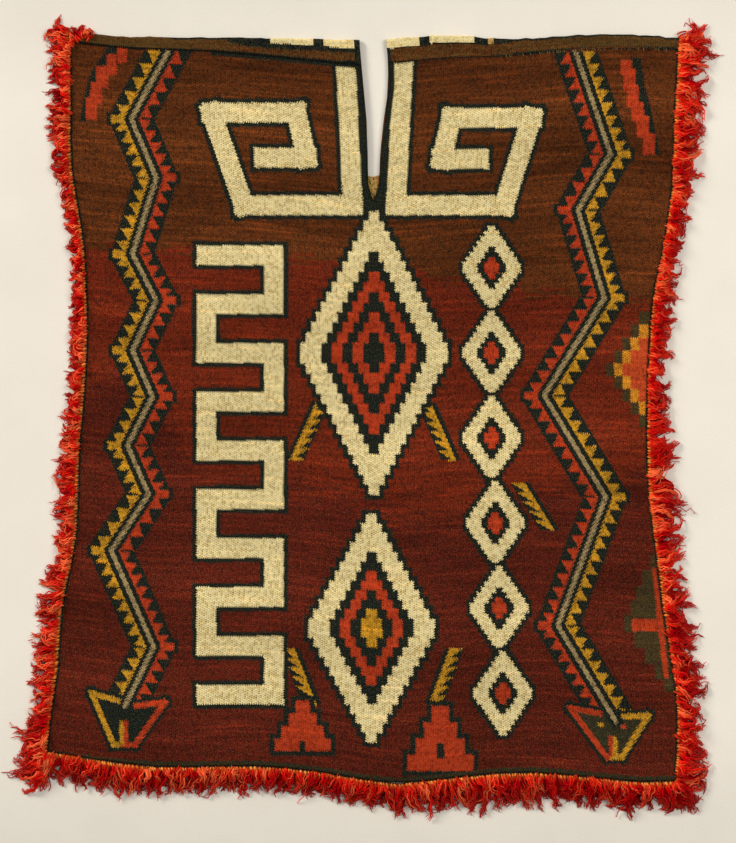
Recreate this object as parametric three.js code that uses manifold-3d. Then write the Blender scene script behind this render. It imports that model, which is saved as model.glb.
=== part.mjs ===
// A child's tapestry tunic with a fringe along its sides, armholes and hem, laid out flat.
// The front lies on the back. Both are folded together at the shoulders, the neck is an upright slit
// through both layers, and the sides are closed by the fringe's heading below the armholes.
//
// Millimetres, +Z up. The underside of the back lies on z = 0. The origin is on that underside, on the
// line of the neck slit (x = 0), halfway between the shoulder fold (+Y) and the hem (-Y).
import * as THREE from "three";
import { mergeVertices } from "three/addons/utils/BufferGeometryUtils.js";
import Module from "manifold-3d";

// ---- driving sizes -------------------------------------------------------------------------------
const LENGTH = 592; // shoulder fold to hem, nominal
const CLOTH = 1.5; // thickness of the woven wall
const GAP = 0.3; // kept between pieces at every seam, and between the layers
const BACK_LAP = 8; // depth of the shoulder strip on the back
const NECK = 129; // depth of the front's neck slit below the shoulder fold
const BACK_NECK = 116; // depth of the back's
const ARMHOLE = 116; // depth of each armhole
const STRIP = 3; // width of the fringe's woven heading
const STRIP_LIFT = 0.3; // the heading's clearance over the table
const LOCK_PITCH = 11; // spacing of the fringe's locks along an edge
const LOCK_SIDES = 3;
const LOCK_STEPS = 3; // segments along one lock
const UNDER_SHARE = 0.6; // length of the back's locks, as a share of the front's that lie on them

const STACK = 2 * CLOTH + GAP; // both layers
const SLIT_ROWS = [38, 64, 90, BACK_NECK, NECK]; // rows of the mesh beside the slit
const SHOULDER = LENGTH / 2; // y of the shoulder fold
const HEM = -LENGTH / 2; // y of the hem

// The side edges: x of the left and right edge, by distance below the shoulder fold.
const sideEdges = [
  { down: 0, left: -243, right: 244 },
  { down: 65, left: -242, right: 240 },
  { down: 105, left: -242, right: 239 },
  { down: 135, left: -238, right: 236 },
  { down: 170, left: -232, right: 231 },
  { down: 205, left: -230, right: 223 },
  { down: 245, left: -229, right: 220 },
  { down: 305, left: -232, right: 218 },
  { down: 335, left: -235, right: 218 },
  { down: 370, left: -236, right: 220 },
  { down: 415, left: -238, right: 226 },
  { down: 450, left: -245, right: 230 },
  { down: 480, left: -250, right: 235 },
  { down: 520, left: -252, right: 241 },
  { down: 560, left: -258, right: 242 },
  { down: 592, left: -261, right: 240 },
];

// The hem's wave: how far it hangs below its nominal line, across the width.
const hemWave = [
  { across: -262, drop: -22 },
  { across: -222, drop: -15 },
  { across: -170, drop: -9 },
  { across: -93, drop: -10 },
  { across: -50, drop: -6 },
  { across: -19, drop: -1 },
  { across: 14, drop: 4 },
  { across: 61, drop: 0 },
  { across: 115, drop: -5 },
  { across: 163, drop: -2 },
  { across: 215, drop: 3 },
  { across: 245, drop: 2 },
];

// The shoulders: how far the fold stands above its nominal line, and how deep the shoulder strip is
// on the front.
const shoulderLine = [
  { across: -244, rise: 5, depth: 8 },
  { across: -197, rise: 1, depth: 9 },
  { across: -123, rise: 0, depth: 11 },
  { across: -47, rise: -1, depth: 17 },
  { across: -12, rise: -2, depth: 19 },
  { across: 12, rise: -1, depth: 18 },
  { across: 60, rise: 2, depth: 16 },
  { across: 105, rise: -1, depth: 12 },
  { across: 189, rise: 3, depth: 9 },
  { across: 245, rise: 0, depth: 9 },
];

// The front's neck slit: x of its two edges, by distance below the shoulder fold.
const neckEdges = [
  { down: 0, left: -11.5, right: 9.5 },
  { down: 18, left: -10.5, right: 11.5 },
  { down: 46, left: -8, right: 11.5 },
  { down: 61, left: -6.5, right: 9 },
  { down: 92, left: -5, right: 5.5 },
  { down: 110, left: -4.5, right: 4 },
  { down: 129, left: -1, right: -0.2 },
];

// Soft waves of the front over the back, each a low oval hill.
const waves = [
  { across: 14, down: 604, wide: 46, long: 60, high: 2.4 },
  { across: -95, down: 585, wide: 70, long: 50, high: 1.6 },
  { across: 192, down: 598, wide: 42, long: 62, high: 2.2 },
  { across: -205, down: 395, wide: 34, long: 90, high: 1.2 },
  { across: 190, down: 330, wide: 40, long: 80, high: 1.2 },
];

// The fringe's length along each edge, by distance along it.
const sideFringe = [
  { down: 0, left: 22, right: 29 },
  { down: 90, left: 17, right: 24 },
  { down: 150, left: 13, right: 16 },
  { down: 215, left: 16, right: 17 },
  { down: 275, left: 14, right: 13 },
  { down: 335, left: 20, right: 19 },
  { down: 372, left: 17, right: 27 },
  { down: 415, left: 16, right: 18 },
  { down: 455, left: 22, right: 24 },
  { down: 530, left: 21, right: 23 },
  { down: 592, left: 27, right: 24 },
];
const hemFringe = [
  { across: -262, long: 26 },
  { across: -200, long: 23 },
  { across: -100, long: 20 },
  { across: -20, long: 20 },
  { across: 30, long: 24 },
  { across: 90, long: 28 },
  { across: 160, long: 23 },
  { across: 245, long: 26 },
];

// ---- reading the tables --------------------------------------------------------------------------
// A smooth curve through one column of a table, by another.
function along(table, by, column, at) {
  const last = table.length - 1;
  let i = 0;
  while (i < last - 1 && at > table[i + 1][by]) i++;
  const [a, b] = [table[i], table[i + 1]];
  const span = b[by] - a[by];
  const t = Math.min(1, Math.max(0, (at - a[by]) / span));
  const slope = (k) => {
    const [p, n] = [table[Math.max(0, k - 1)], table[Math.min(last, k + 1)]];
    return (n[column] - p[column]) / (n[by] - p[by]);
  };
  const [m, n] = [slope(i) * span, slope(i + 1) * span];
  const [t2, t3] = [t * t, t * t * t];
  return (
    (2 * t3 - 3 * t2 + 1) * a[column] +
    (t3 - 2 * t2 + t) * m +
    (3 * t2 - 2 * t3) * b[column] +
    (t3 - t2) * n
  );
}

// The side edge runs straight down to the first row of the panels, and then follows its table.
function side(half, down) {
  const at = (d) => along(sideEdges, "down", half, d);
  const first = SLIT_ROWS[0];
  return down < first ? THREE.MathUtils.lerp(at(0), at(first), down / first) : at(down);
}
const hemAt = (x) => HEM - along(hemWave, "across", "drop", x);
const foldAt = (x) => SHOULDER + along(shoulderLine, "across", "rise", x);
const depthAt = (x) => along(shoulderLine, "across", "depth", x);

// How far the front is lifted off the back.
function liftAt(x, y) {
  let lift = 0;
  for (const w of waves) {
    const r = Math.hypot((x - w.across) / w.wide, (y - SHOULDER + w.down) / w.long);
    if (r < 1) lift += w.high * 0.5 * (1 + Math.cos(Math.PI * r));
  }
  return lift;
}

// ---- meshes --------------------------------------------------------------------------------------
const wasm = await Module();
wasm.setup();

function geometryOf(points, triangles) {
  const g = new THREE.BufferGeometry();
  g.setAttribute("position", new THREE.Float32BufferAttribute(points.flat(), 3));
  g.setIndex(triangles.flat());
  return g;
}

function solidOf(geometry) {
  const bare = geometry.clone();
  bare.deleteAttribute("normal");
  bare.deleteAttribute("uv");
  const merged = mergeVertices(bare, 1e-4);
  return new wasm.Manifold(
    new wasm.Mesh({
      numProp: 3,
      vertProperties: new Float32Array(merged.attributes.position.array),
      triVerts: new Uint32Array(merged.index.array),
    }),
  );
}

function meshOf(solid) {
  const { numProp, vertProperties, triVerts } = solid.getMesh();
  const points = [];
  for (let i = 0; i < vertProperties.length; i += numProp)
    points.push([...vertProperties.subarray(i, i + 3)]);
  return geometryOf(points, [[...triVerts]]);
}

// A closed tube of cloth through rings of points: every ring has the same number of points, in the
// same order, and the two end rings are capped.
function loft(rings) {
  const sides = rings[0].length;
  const triangles = [];
  for (let r = 0; r + 1 < rings.length; r++)
    for (let s = 0; s < sides; s++) {
      const [a, b] = [r * sides + s, r * sides + ((s + 1) % sides)];
      triangles.push([a, b, b + sides], [a, b + sides, a + sides]);
    }
  // The first cap runs against its ring's order, and the last one with it.
  triangles.push(...cap(rings[0], 0, -1), ...cap(rings.at(-1), sides * (rings.length - 1), 1));
  const made = solidOf(geometryOf(rings.flat(), triangles));
  if (made.volume() >= 0) return made;
  const turned = triangles.map(([a, b, c]) => [a, c, b]);
  return solidOf(geometryOf(rings.flat(), turned));
}

// The faces that close a ring, drawn in the upright plane in which it is widest.
function cap(ring, start, sense) {
  const size = new THREE.Box3()
    .setFromPoints(ring.map((p) => new THREE.Vector3(...p)))
    .getSize(new THREE.Vector3());
  const u = size.x > size.y ? 0 : 1;
  const flat = ring.map((p) => new THREE.Vector2(p[u], p[2]));
  const faces = THREE.ShapeUtils.triangulateShape(flat, []);
  const area = faces.reduce((sum, f) => sum + THREE.ShapeUtils.area(f.map((i) => flat[i])), 0);
  const alike = Math.sign(area) === Math.sign(THREE.ShapeUtils.area(flat)) ? 1 : -1;
  return faces.map(([a, b, c]) =>
    alike === sense ? [start + a, start + b, start + c] : [start + a, start + c, start + b],
  );
}

// ---- the woven panels ----------------------------------------------------------------------------
// Both layers share their rows, given by distance below the shoulder fold, so that their side edges
// lie on each other. The first row of each is where it meets the shoulder strips.
const LOWER_ROWS = 20;
const HALF_COLUMNS = 9;
const rows = [...SLIT_ROWS];
for (let r = 1; r <= LOWER_ROWS; r++) rows.push(NECK + ((LENGTH - NECK) * r) / LOWER_ROWS);

// The y of a row at one x, following the waves of the fold and the hem.
const rowY = (down, x) => THREE.MathUtils.lerp(foldAt(x), hemAt(x), down / LENGTH);

// The line of columns across one half at a row, from the side edge to the middle.
function columnsAt(half, down, neckDepth) {
  const outer = side(half, down);
  const middle = (side("left", down) + side("right", down)) / 2;
  const below = THREE.MathUtils.clamp((down - neckDepth) / (LENGTH - neckDepth), 0, 1);
  const inner =
    down < neckDepth
      ? along(neckEdges, "down", half, (down * NECK) / neckDepth)
      : THREE.MathUtils.lerp(-0.6, middle, below);
  const xs = [];
  for (let c = 0; c <= HALF_COLUMNS; c++) xs.push(THREE.MathUtils.lerp(outer, inner, c / HALF_COLUMNS));
  return xs;
}

// One layer of cloth from the shoulder strip to the hem, with the neck slit open at its top.
// The two halves of its grid share the points under the slit.
function panel({ topAt, topDown, neckDepth, floorAt }) {
  const points = [];
  const index = new Map();
  const grid = [topDown, ...rows].map((down, row) =>
    ["left", "right"].map((half) => {
      const cells = columnsAt(half, down, neckDepth).map((x, c) => {
        const shared = down >= neckDepth && c === HALF_COLUMNS;
        const key = shared ? `${row}` : `${row} ${half} ${c}`;
        if (!index.has(key)) {
          index.set(key, points.length);
          points.push([x, row === 0 ? topAt(x) : rowY(down, x)]);
        }
        return index.get(key);
      });
      return half === "left" ? cells : cells.reverse();
    }),
  );

  const quads = [];
  for (let r = 0; r + 1 < grid.length; r++)
    for (const h of [0, 1])
      for (let c = 0; c < HALF_COLUMNS; c++)
        quads.push([grid[r][h][c], grid[r + 1][h][c], grid[r + 1][h][c + 1], grid[r][h][c + 1]]);

  // Both faces, then a wall along every edge that only one cell has.
  const n = points.length;
  const rim = new Map();
  const triangles = [];
  for (const [a, b, c, d] of quads) {
    triangles.push([a, b, c], [a, c, d], [a + n, c + n, b + n], [a + n, d + n, c + n]);
    for (const [p, q] of [[a, b], [b, c], [c, d], [d, a]])
      if (!rim.delete(`${q} ${p}`)) rim.set(`${p} ${q}`, [p, q]);
  }
  for (const [p, q] of rim.values()) triangles.push([p, p + n, q + n], [p, q + n, q]);
  const top = points.map(([x, y]) => [x, y, floorAt(x, y) + CLOTH]);
  const bottom = points.map(([x, y]) => [x, y, floorAt(x, y)]);
  return geometryOf([...top, ...bottom], triangles);
}

const frontPanel = panel({
  topAt: (x) => foldAt(x) - depthAt(x) - GAP,
  topDown: depthAt(0),
  neckDepth: NECK,
  floorAt: (x, y) => CLOTH + GAP + liftAt(x, y),
});
const backPanel = panel({
  topAt: (x) => foldAt(x) - BACK_LAP - GAP,
  topDown: BACK_LAP,
  neckDepth: BACK_NECK,
  floorAt: () => 0,
});

// ---- the shoulder strips -------------------------------------------------------------------------
// Each is folded over the shoulder: a U in section, from the front's top edge to the back's.
const SHOULDER_STEPS = 14;
const FOLD_STEPS = 6;

function shoulder(half) {
  const rings = [];
  for (let i = 0; i <= SHOULDER_STEPS; i++) {
    const t = i / SHOULDER_STEPS;
    const lapAt = (down) => {
      const inner = along(neckEdges, "down", half, down);
      return THREE.MathUtils.lerp(side(half, down), inner, t);
    };
    const x = lapAt(0);
    const fold = foldAt(x);
    const centre = fold - STACK / 2;
    const front = fold - depthAt(x);
    const xFront = lapAt(depthAt(x));
    const xBack = lapAt(BACK_LAP);
    const ring = [[xFront, front, STACK]];
    for (let k = 0; k <= FOLD_STEPS; k++) {
      const a = Math.PI / 2 - (Math.PI * k) / FOLD_STEPS;
      ring.push([x, centre + (STACK / 2) * Math.cos(a), STACK / 2 + (STACK / 2) * Math.sin(a)]);
    }
    ring.push([xBack, fold - BACK_LAP, 0], [xBack, fold - BACK_LAP, CLOTH]);
    for (const a of [-90, 0, 90].map(THREE.MathUtils.degToRad))
      ring.push([x, centre + (GAP / 2) * Math.cos(a), STACK / 2 + (GAP / 2) * Math.sin(a)]);
    ring.push([xFront, front, CLOTH + GAP]);
    rings.push(ring);
  }
  return meshOf(loft(rings));
}

// ---- the fringe ----------------------------------------------------------------------------------
// A heading strip along an edge. Each station has the edge's point, its outward direction and the
// strip's lowest and highest z.
function heading(stations) {
  return loft(
    stations.map(({ x, y, out, low, high }) => {
      const at = (d, z) => [x + out[0] * d, y + out[1] * d, z];
      return [at(GAP, low), at(GAP + STRIP, low), at(GAP + STRIP, high), at(GAP, high)];
    }),
  );
}

// One lock: a bent, tapering horn of three sides, rooted in the heading.
function lock({ x, y, out, sway, long, wide, thick, root, crest, tip }) {
  const [cos, sin] = [Math.cos(sway), Math.sin(sway)];
  const rings = [];
  for (let k = 0; k <= LOCK_STEPS; k++) {
    const t = k / LOCK_STEPS;
    // It leaves the heading squarely and bends over to its sway.
    const turn = [
      out[0] * (1 - t + t * cos) - out[1] * t * sin,
      out[1] * (1 - t + t * cos) + out[0] * t * sin,
    ];
    const reach = GAP + STRIP * 0.4 + long * t;
    const [cx, cy] = [x + turn[0] * reach, y + turn[1] * reach];
    const cz = THREE.MathUtils.lerp(root, tip, t) + crest * Math.sin(Math.PI * t);
    const [w, h] = [wide * (1 - 0.7 * t), thick * (1 - 0.65 * t)];
    const ring = [];
    for (let s = 0; s < LOCK_SIDES; s++) {
      const a = Math.PI / 2 + (2 * Math.PI * s) / LOCK_SIDES;
      const across = (w / Math.sqrt(3)) * Math.cos(a);
      ring.push([cx - turn[1] * across, cy + turn[0] * across, cz + (h / 1.5) * Math.sin(a)]);
    }
    rings.push(ring);
  }
  return loft(rings);
}

// The heading and locks along some runs of stations, fused into one piece.
function fringe(runs, extra = []) {
  const parts = [...extra];
  for (const { stations, longAt, layer, phase } of runs) {
    parts.push(heading(stations));
    const steps = stations.slice(1).map((s, i) => Math.hypot(s.x - stations[i].x, s.y - stations[i].y));
    const whole = steps.reduce((sum, step) => sum + step, 0);
    const count = Math.round(whole / LOCK_PITCH);
    for (let k = 0; k < count; k++) {
      let left = ((k + 0.5) * whole) / count;
      let i = 0;
      while (left > steps[i]) left -= steps[i++];
      const mix = (read) => THREE.MathUtils.lerp(read(stations[i]), read(stations[i + 1]), left / steps[i]);
      const [x, y] = [mix((s) => s.x), mix((s) => s.y)];
      const turn = k + phase;
      parts.push(
        lock({
          x,
          y,
          out: [mix((s) => s.out[0]), mix((s) => s.out[1])],
          sway: 0.1 * Math.sin(turn * 2.3) + mix((s) => s.fan),
          long: longAt(x, y) * layer.share * (0.92 + 0.08 * Math.sin(turn * 3.1)),
          wide: layer.wide,
          thick: layer.thick,
          root: mix((s) => (s.low + s.high) / 2),
          crest: layer.crest * (0.8 + 0.2 * Math.sin(turn * 2.4)),
          tip: layer.tip,
        }),
      );
    }
  }
  return meshOf(wasm.Manifold.union(parts));
}

// Stations where a polyline's points are, between two distances along its table, and at both ends.
function stationsOn(at, marks, from, to, levels, fanAt) {
  const inner = marks.filter((m) => m > from + 1 && m < to - 1);
  const pointAt = (mark) => {
    const next = marks.findIndex((m) => m > mark);
    if (next < 1) return at(mark);
    const t = (mark - marks[next - 1]) / (marks[next] - marks[next - 1]);
    const [p, q] = [at(marks[next - 1]), at(marks[next])];
    return [THREE.MathUtils.lerp(p[0], q[0], t), THREE.MathUtils.lerp(p[1], q[1], t)];
  };
  return [from, ...inner, to].map((mark) => {
    const [x, y] = pointAt(mark);
    const [[x0, y0], [x1, y1]] = [pointAt(mark - 2), pointAt(mark + 2)];
    const run = Math.hypot(x1 - x0, y1 - y0);
    const lift = levels.followsFront ? liftAt(x, y) : 0;
    return {
      x,
      y,
      out: [(y1 - y0) / run, (x0 - x1) / run],
      low: levels.low + lift,
      high: levels.high + lift,
      fan: fanAt(mark),
    };
  });
}

function sideStations(half, from, to, levels) {
  const edge = (down) => [side(half, down), rowY(down, side(half, down))];
  const stations = stationsOn(edge, rows, from, to, levels, () => 0);
  // Downwards along the left edge, outwards is on the right-hand side of the run.
  return half === "left"
    ? stations
    : stations.map((s) => ({ ...s, out: [-s.out[0], -s.out[1]] }));
}

const hemMarks = [
  ...columnsAt("left", LENGTH, NECK),
  ...columnsAt("right", LENGTH, NECK).reverse().slice(1),
];
const HEM_END = 1; // how far the hem's heading ends inside the corners

function hemStations(levels) {
  const [from, to] = [hemMarks[0] + HEM_END, hemMarks.at(-1) - HEM_END];
  // The locks fan outwards over the last stretch before each corner.
  const fanAt = (x) => {
    const near = Math.min(x - from, to - x);
    return 0.5 * Math.sign(x) * Math.max(0, 1 - near / 30);
  };
  return stationsOn((x) => [x, hemAt(x)], hemMarks, from, to, levels, fanAt);
}

const whole = { low: STRIP_LIFT, high: STACK, followsFront: false };
const upper = { low: CLOTH + GAP, high: STACK, followsFront: true };
const lower = { low: STRIP_LIFT, high: CLOTH, followsFront: false };
// The locks of each layer: their size at the root, how high they arch and where their tips lie.
const sideLocks = { wide: 8.5, thick: 2.6, crest: 3.2, tip: 1.4, share: 1 };
const upperLocks = { wide: 8.5, thick: 1.6, crest: 3.6, tip: 1.6, share: 1 };
const lowerLocks = { wide: 7, thick: 0.9, crest: 0, tip: 0.9, share: UNDER_SHARE };

const sideLong = (half) => (x, y) => along(sideFringe, "down", half, SHOULDER - y);
const hemLong = (x) => along(hemFringe, "across", "long", x);

// The side fringe closes the side seam, from the armhole to the hem.
function sideFringeOf(half) {
  const stations = sideStations(half, ARMHOLE + 2 * GAP, LENGTH - 2, whole);
  return fringe([{ stations, longAt: sideLong(half), layer: sideLocks, phase: 0 }]);
}

// The armhole's fringe runs up the front, over the end of the shoulder and down the back. The front's
// and the back's strips part at the armhole.
const CROWN_TURNS = [0.3, 0.75, 1.2]; // how far the locks at the shoulder's corner turn upwards

function armholeFringeOf(half) {
  const sign = half === "left" ? -1 : 1;
  const [front, back] = [upper, lower].map((levels) => sideStations(half, 0, ARMHOLE, levels));
  const { x, y, out, fan } = front[0];
  const ends = { out, fan, low: STRIP_LIFT, high: STACK };
  const corner = heading([
    { ...ends, x, y: y + 1 },
    { ...ends, x, y: y - 3 },
  ]);
  const crown = CROWN_TURNS.map((turn, i) =>
    lock({
      x,
      y: y - 1,
      out,
      sway: sign * turn,
      long: sideLong(half)(x, y) * (1 - 0.25 * i),
      wide: 6,
      thick: 2.2,
      root: STACK / 2,
      crest: 2.4 + i,
      tip: 1.6,
    }),
  );
  const runs = [
    { stations: front, longAt: sideLong(half), layer: upperLocks, phase: 0 },
    { stations: back, longAt: sideLong(half), layer: lowerLocks, phase: 2 },
  ];
  return fringe(runs, [corner, ...crown]);
}

const hemFringeOf = (levels, layer, phase) =>
  fringe([{ stations: hemStations(levels), longAt: hemLong, layer, phase }]);

// ---- the tunic -----------------------------------------------------------------------------------
const woven = (name, color) =>
  new THREE.MeshStandardMaterial({ name, color, roughness: 0.95, metalness: 0 });

const tunic = new THREE.Group();
tunic.name = "tunic";

function add(name, geometry, material) {
  const mesh = new THREE.Mesh(geometry, material);
  mesh.name = name;
  tunic.add(mesh);
}

add("back_panel", backPanel, woven("tapestry back", "#4a2216"));
add("front_panel", frontPanel, woven("tapestry front", "#54281a"));
for (const half of ["left", "right"]) {
  add(`shoulder_${half}`, shoulder(half), woven(`shoulder strip ${half}`, "#4b3018"));
  add(`fringe_armhole_${half}`, armholeFringeOf(half), woven(`armhole fringe ${half}`, "#c8301a"));
  add(`fringe_side_${half}`, sideFringeOf(half), woven(`side fringe ${half}`, "#c8301a"));
}
add("fringe_hem_front", hemFringeOf(upper, upperLocks, 0), woven("front hem fringe", "#c02818"));
add("fringe_hem_back", hemFringeOf(lower, lowerLocks, 3), woven("back hem fringe", "#c02818"));

export default tunic;
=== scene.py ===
import math

import bpy
import numpy as np
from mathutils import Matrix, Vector
from mathutils.bvhtree import BVHTree


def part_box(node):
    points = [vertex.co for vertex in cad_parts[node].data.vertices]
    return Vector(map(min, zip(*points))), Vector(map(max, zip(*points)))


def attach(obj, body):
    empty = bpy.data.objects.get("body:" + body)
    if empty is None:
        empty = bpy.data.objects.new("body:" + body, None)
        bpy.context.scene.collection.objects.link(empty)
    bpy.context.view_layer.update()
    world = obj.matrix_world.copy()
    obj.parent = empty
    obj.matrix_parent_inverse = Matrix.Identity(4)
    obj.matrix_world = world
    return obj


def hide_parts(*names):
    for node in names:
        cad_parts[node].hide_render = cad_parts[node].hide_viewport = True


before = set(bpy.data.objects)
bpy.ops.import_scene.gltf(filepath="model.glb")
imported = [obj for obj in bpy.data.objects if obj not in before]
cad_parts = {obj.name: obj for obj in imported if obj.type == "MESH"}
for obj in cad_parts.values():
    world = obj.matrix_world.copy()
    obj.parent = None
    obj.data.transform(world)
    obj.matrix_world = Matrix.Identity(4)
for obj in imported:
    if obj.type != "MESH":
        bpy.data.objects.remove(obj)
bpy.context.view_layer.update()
mm = 0.001
print("frame loaded")

# The camera looks straight down. The middle of its view, how much it sees from top to bottom, its
# height and how far it sees are in metres.
view = {"centre": (-4.8 * mm, -10.8 * mm), "tall": 674.4 * mm, "height": 3.2, "sensor": 36, "reach": 20}


def addObject(name, data):
    thing = bpy.data.objects.new(name, data)
    bpy.context.scene.collection.objects.link(thing)
    return thing


def makeCamera():
    data = bpy.data.cameras.new("overhead")
    data.sensor_width = view["sensor"]
    data.lens = view["sensor"] * view["height"] / view["tall"]
    data.clip_end = view["reach"]
    camera = addObject("overhead", data)
    camera.location = (*view["centre"], view["height"])
    bpy.context.scene.camera = camera


# Each light: its place and size in metres, its power in watts and its colour.
lights = {
    "windowLeft": {"at": (-4.6, 3.1, 2.5), "size": 1.8, "power": 300, "tint": (1.0, 0.98, 0.95)},
    "windowRight": {"at": (1.8, 0.6, 2.1), "size": 1.4, "power": 32, "tint": (1.0, 0.97, 0.96)},
    "ceiling": {"at": (-0.1, 0.3, 2.9), "size": 1.8, "power": 5, "tint": (1.0, 1.0, 1.0)},
}
room = {"tint": (0.96, 0.97, 1.0, 1), "strength": 0.3}


def makeLights():
    for name, light in lights.items():
        data = bpy.data.lights.new(name, "AREA")
        data.shape = "SQUARE"
        data.size = light["size"]
        data.energy = light["power"]
        data.color = light["tint"]
        lamp = addObject(name, data)
        lamp.location = light["at"]
        lamp.rotation_euler = (-Vector(light["at"])).to_track_quat("-Z", "Y").to_euler()
    world = bpy.data.worlds.new("room")
    world.use_nodes = True
    background = world.node_tree.nodes["Background"].inputs
    background["Color"].default_value = room["tint"]
    background["Strength"].default_value = room["strength"]
    bpy.context.scene.world = world
    bpy.context.scene.view_settings.view_transform = "Standard"


def addNode(tree, kind, values=None, **settings):
    node = tree.nodes.new(kind)
    for key, value in settings.items():
        setattr(node, key, value)
    for key, value in (values or {}).items():
        if isinstance(value, bpy.types.NodeSocket):
            tree.links.new(value, node.inputs[key])
        else:
            node.inputs[key].default_value = value
    return node


def compute(tree, operation, a, b=0.0, c=0.0, clamp=False):
    node = addNode(tree, "ShaderNodeMath", {0: a, 1: b, 2: c}, operation=operation)
    node.use_clamp = clamp
    return node.outputs[0]


def mixColour(tree, factor, a, b, blend="MIX"):
    node = addNode(tree, "ShaderNodeMix", {"Factor": factor}, data_type="RGBA", blend_type=blend)
    for socket, value in ((node.inputs[6], a), (node.inputs[7], b)):
        if isinstance(value, bpy.types.NodeSocket):
            tree.links.new(value, socket)
        else:
            socket.default_value = value
    return node.outputs[2]


def multiplied(tree, colour, by):
    return mixColour(tree, 1.0, colour, by, "MULTIPLY")


def ranged(tree, value, fromLow, fromHigh, toLow=0.0, toHigh=1.0):
    limits = {"From Min": fromLow, "From Max": fromHigh, "To Min": toLow, "To Max": toHigh}
    return addNode(tree, "ShaderNodeMapRange", {"Value": value, **limits}).outputs[0]


def addNoise(tree, where, scale, detail, rough=0.5):
    values = {"Vector": where, "Scale": scale, "Detail": detail, "Roughness": rough}
    return addNode(tree, "ShaderNodeTexNoise", values).outputs["Fac"]


def addBump(tree, shader, height, strength, distance):
    values = {"Height": height, "Strength": strength, "Distance": distance}
    tree.links.new(addNode(tree, "ShaderNodeBump", values).outputs[0], shader.inputs["Normal"])


def newGroup(name, inputs, outputs):
    tree = bpy.data.node_groups.new(name, "ShaderNodeTree")
    for label, kind, value in inputs:
        socket = tree.interface.new_socket(label, in_out="INPUT", socket_type=kind)
        socket.default_value = value
    for label, kind in outputs:
        tree.interface.new_socket(label, in_out="OUTPUT", socket_type=kind)
    return tree, tree.nodes.new("NodeGroupInput").outputs, tree.nodes.new("NodeGroupOutput").inputs


def newMaterial(name):
    material = bpy.data.materials.new(name)
    material.use_nodes = True
    tree = material.node_tree
    tree.nodes.clear()
    out = tree.nodes.new("ShaderNodeOutputMaterial")
    shader = tree.nodes.new("ShaderNodeBsdfPrincipled")
    tree.links.new(shader.outputs[0], out.inputs["Surface"])
    return material, tree, shader


def hexColour(text):
    channels = [int(text[k : k + 2], 16) / 255 for k in (1, 3, 5)]
    return (*[c / 12.92 if c < 0.04045 else ((c + 0.055) / 1.055) ** 2.4 for c in channels], 1)


# The weave's own numbers: how far the ribs sway, how round ribs and beads are and how sharply the painted
# shade in the gaps between beads fades, how fine the fibres are, and how slowly the dye changes along and
# across the wefts.
weaveLook = {
    "swayScale": 0.35, "sway": 0.9, "lean": 0.5, "ribRound": 0.6, "beadRound": 0.7, "paintedGapShadeRound": 1.2,
    "fibreScale": 1.6, "fibreRough": 0.8, "runs": [(0.03, 0.6), (0.004, 0.035)],
}  # fmt: skip
weaveOutputs = ("Height", "Painted Gap Shade", "Bead", "Fibre", "Streak", "Dye Lot")


def makeWeaveGroup():
    # Weft-faced tapestry: upright ribs over the warps, each made of beads of weft set half a step
    # off its neighbours. The "weave" attribute counts warps across and wefts along, and its
    # third number is how far the painted shade in the gaps between the beads is closed up.
    scalar = "NodeSocketFloat"
    tree, given, result = newGroup(
        "tapestryWeave",
        [("Rib Depth", scalar, 0.5)],
        [(name, scalar) for name in weaveOutputs],
    )
    where = addNode(tree, "ShaderNodeAttribute", attribute_name="weave").outputs["Vector"]
    axes = addNode(tree, "ShaderNodeSeparateXYZ", {0: where}).outputs
    look = weaveLook
    wobble = addNoise(tree, where, look["swayScale"], 2.0)
    sway = compute(tree, "MULTIPLY_ADD", wobble, look["sway"], -look["sway"] / 2)
    across = compute(tree, "MULTIPLY_ADD", sway, look["lean"], axes["X"])
    rib = compute(tree, "FLOOR", across)
    odd = compute(tree, "MULTIPLY", compute(tree, "MODULO", rib, 2.0), 0.5)
    down = compute(tree, "ADD", axes["Y"], compute(tree, "ADD", odd, sway))
    ribHump, beadHump = (
        compute(tree, "SINE", compute(tree, "MULTIPLY", compute(tree, "FRACT", way), math.pi))
        for way in (across, down)
    )
    ribHump = compute(tree, "POWER", ribHump, look["ribRound"])
    floor = compute(tree, "SUBTRACT", 1.0, given["Rib Depth"])
    bead = compute(tree, "POWER", beadHump, look["beadRound"])
    bead = compute(tree, "MULTIPLY_ADD", bead, given["Rib Depth"], floor)
    height = compute(tree, "MULTIPLY", ribHump, bead)
    # Painted shade in the gaps where beads meet along a rib.
    paintedGapShade = compute(tree, "SUBTRACT", 1.0, compute(tree, "POWER", beadHump, look["paintedGapShadeRound"]))
    between = compute(tree, "MULTIPLY_ADD", axes["Z"], -1.0, ribHump)
    paintedGapShade = compute(tree, "MULTIPLY", paintedGapShade, between, clamp=True)
    cell = addNode(tree, "ShaderNodeCombineXYZ", {"X": rib, "Y": compute(tree, "FLOOR", down)}).outputs[0]
    chance = addNode(tree, "ShaderNodeTexWhiteNoise", {"Vector": cell}, noise_dimensions="2D")
    made = [height, paintedGapShade, chance.outputs["Value"]]
    made.append(addNoise(tree, where, look["fibreScale"], 3.0, look["fibreRough"]))
    # Each pass of weft differs a little in colour, and each dye lot more slowly.
    for wide, tall in look["runs"]:
        run = addNode(tree, "ShaderNodeVectorMath", {0: where, 1: (wide, tall, 0)}, operation="MULTIPLY")
        made.append(addNoise(tree, run.outputs[0], 1.0, 4.0))
    for name, socket in zip(weaveOutputs, made):
        tree.links.new(socket, result[name])
    return tree


# Wear: where patches count as faded, how ragged they are, and how fine the nap is.
wearLook = {"faded": (0.4, 0.68), "detail": 5.0, "rough": 0.6, "napScale": 2200.0}


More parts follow.
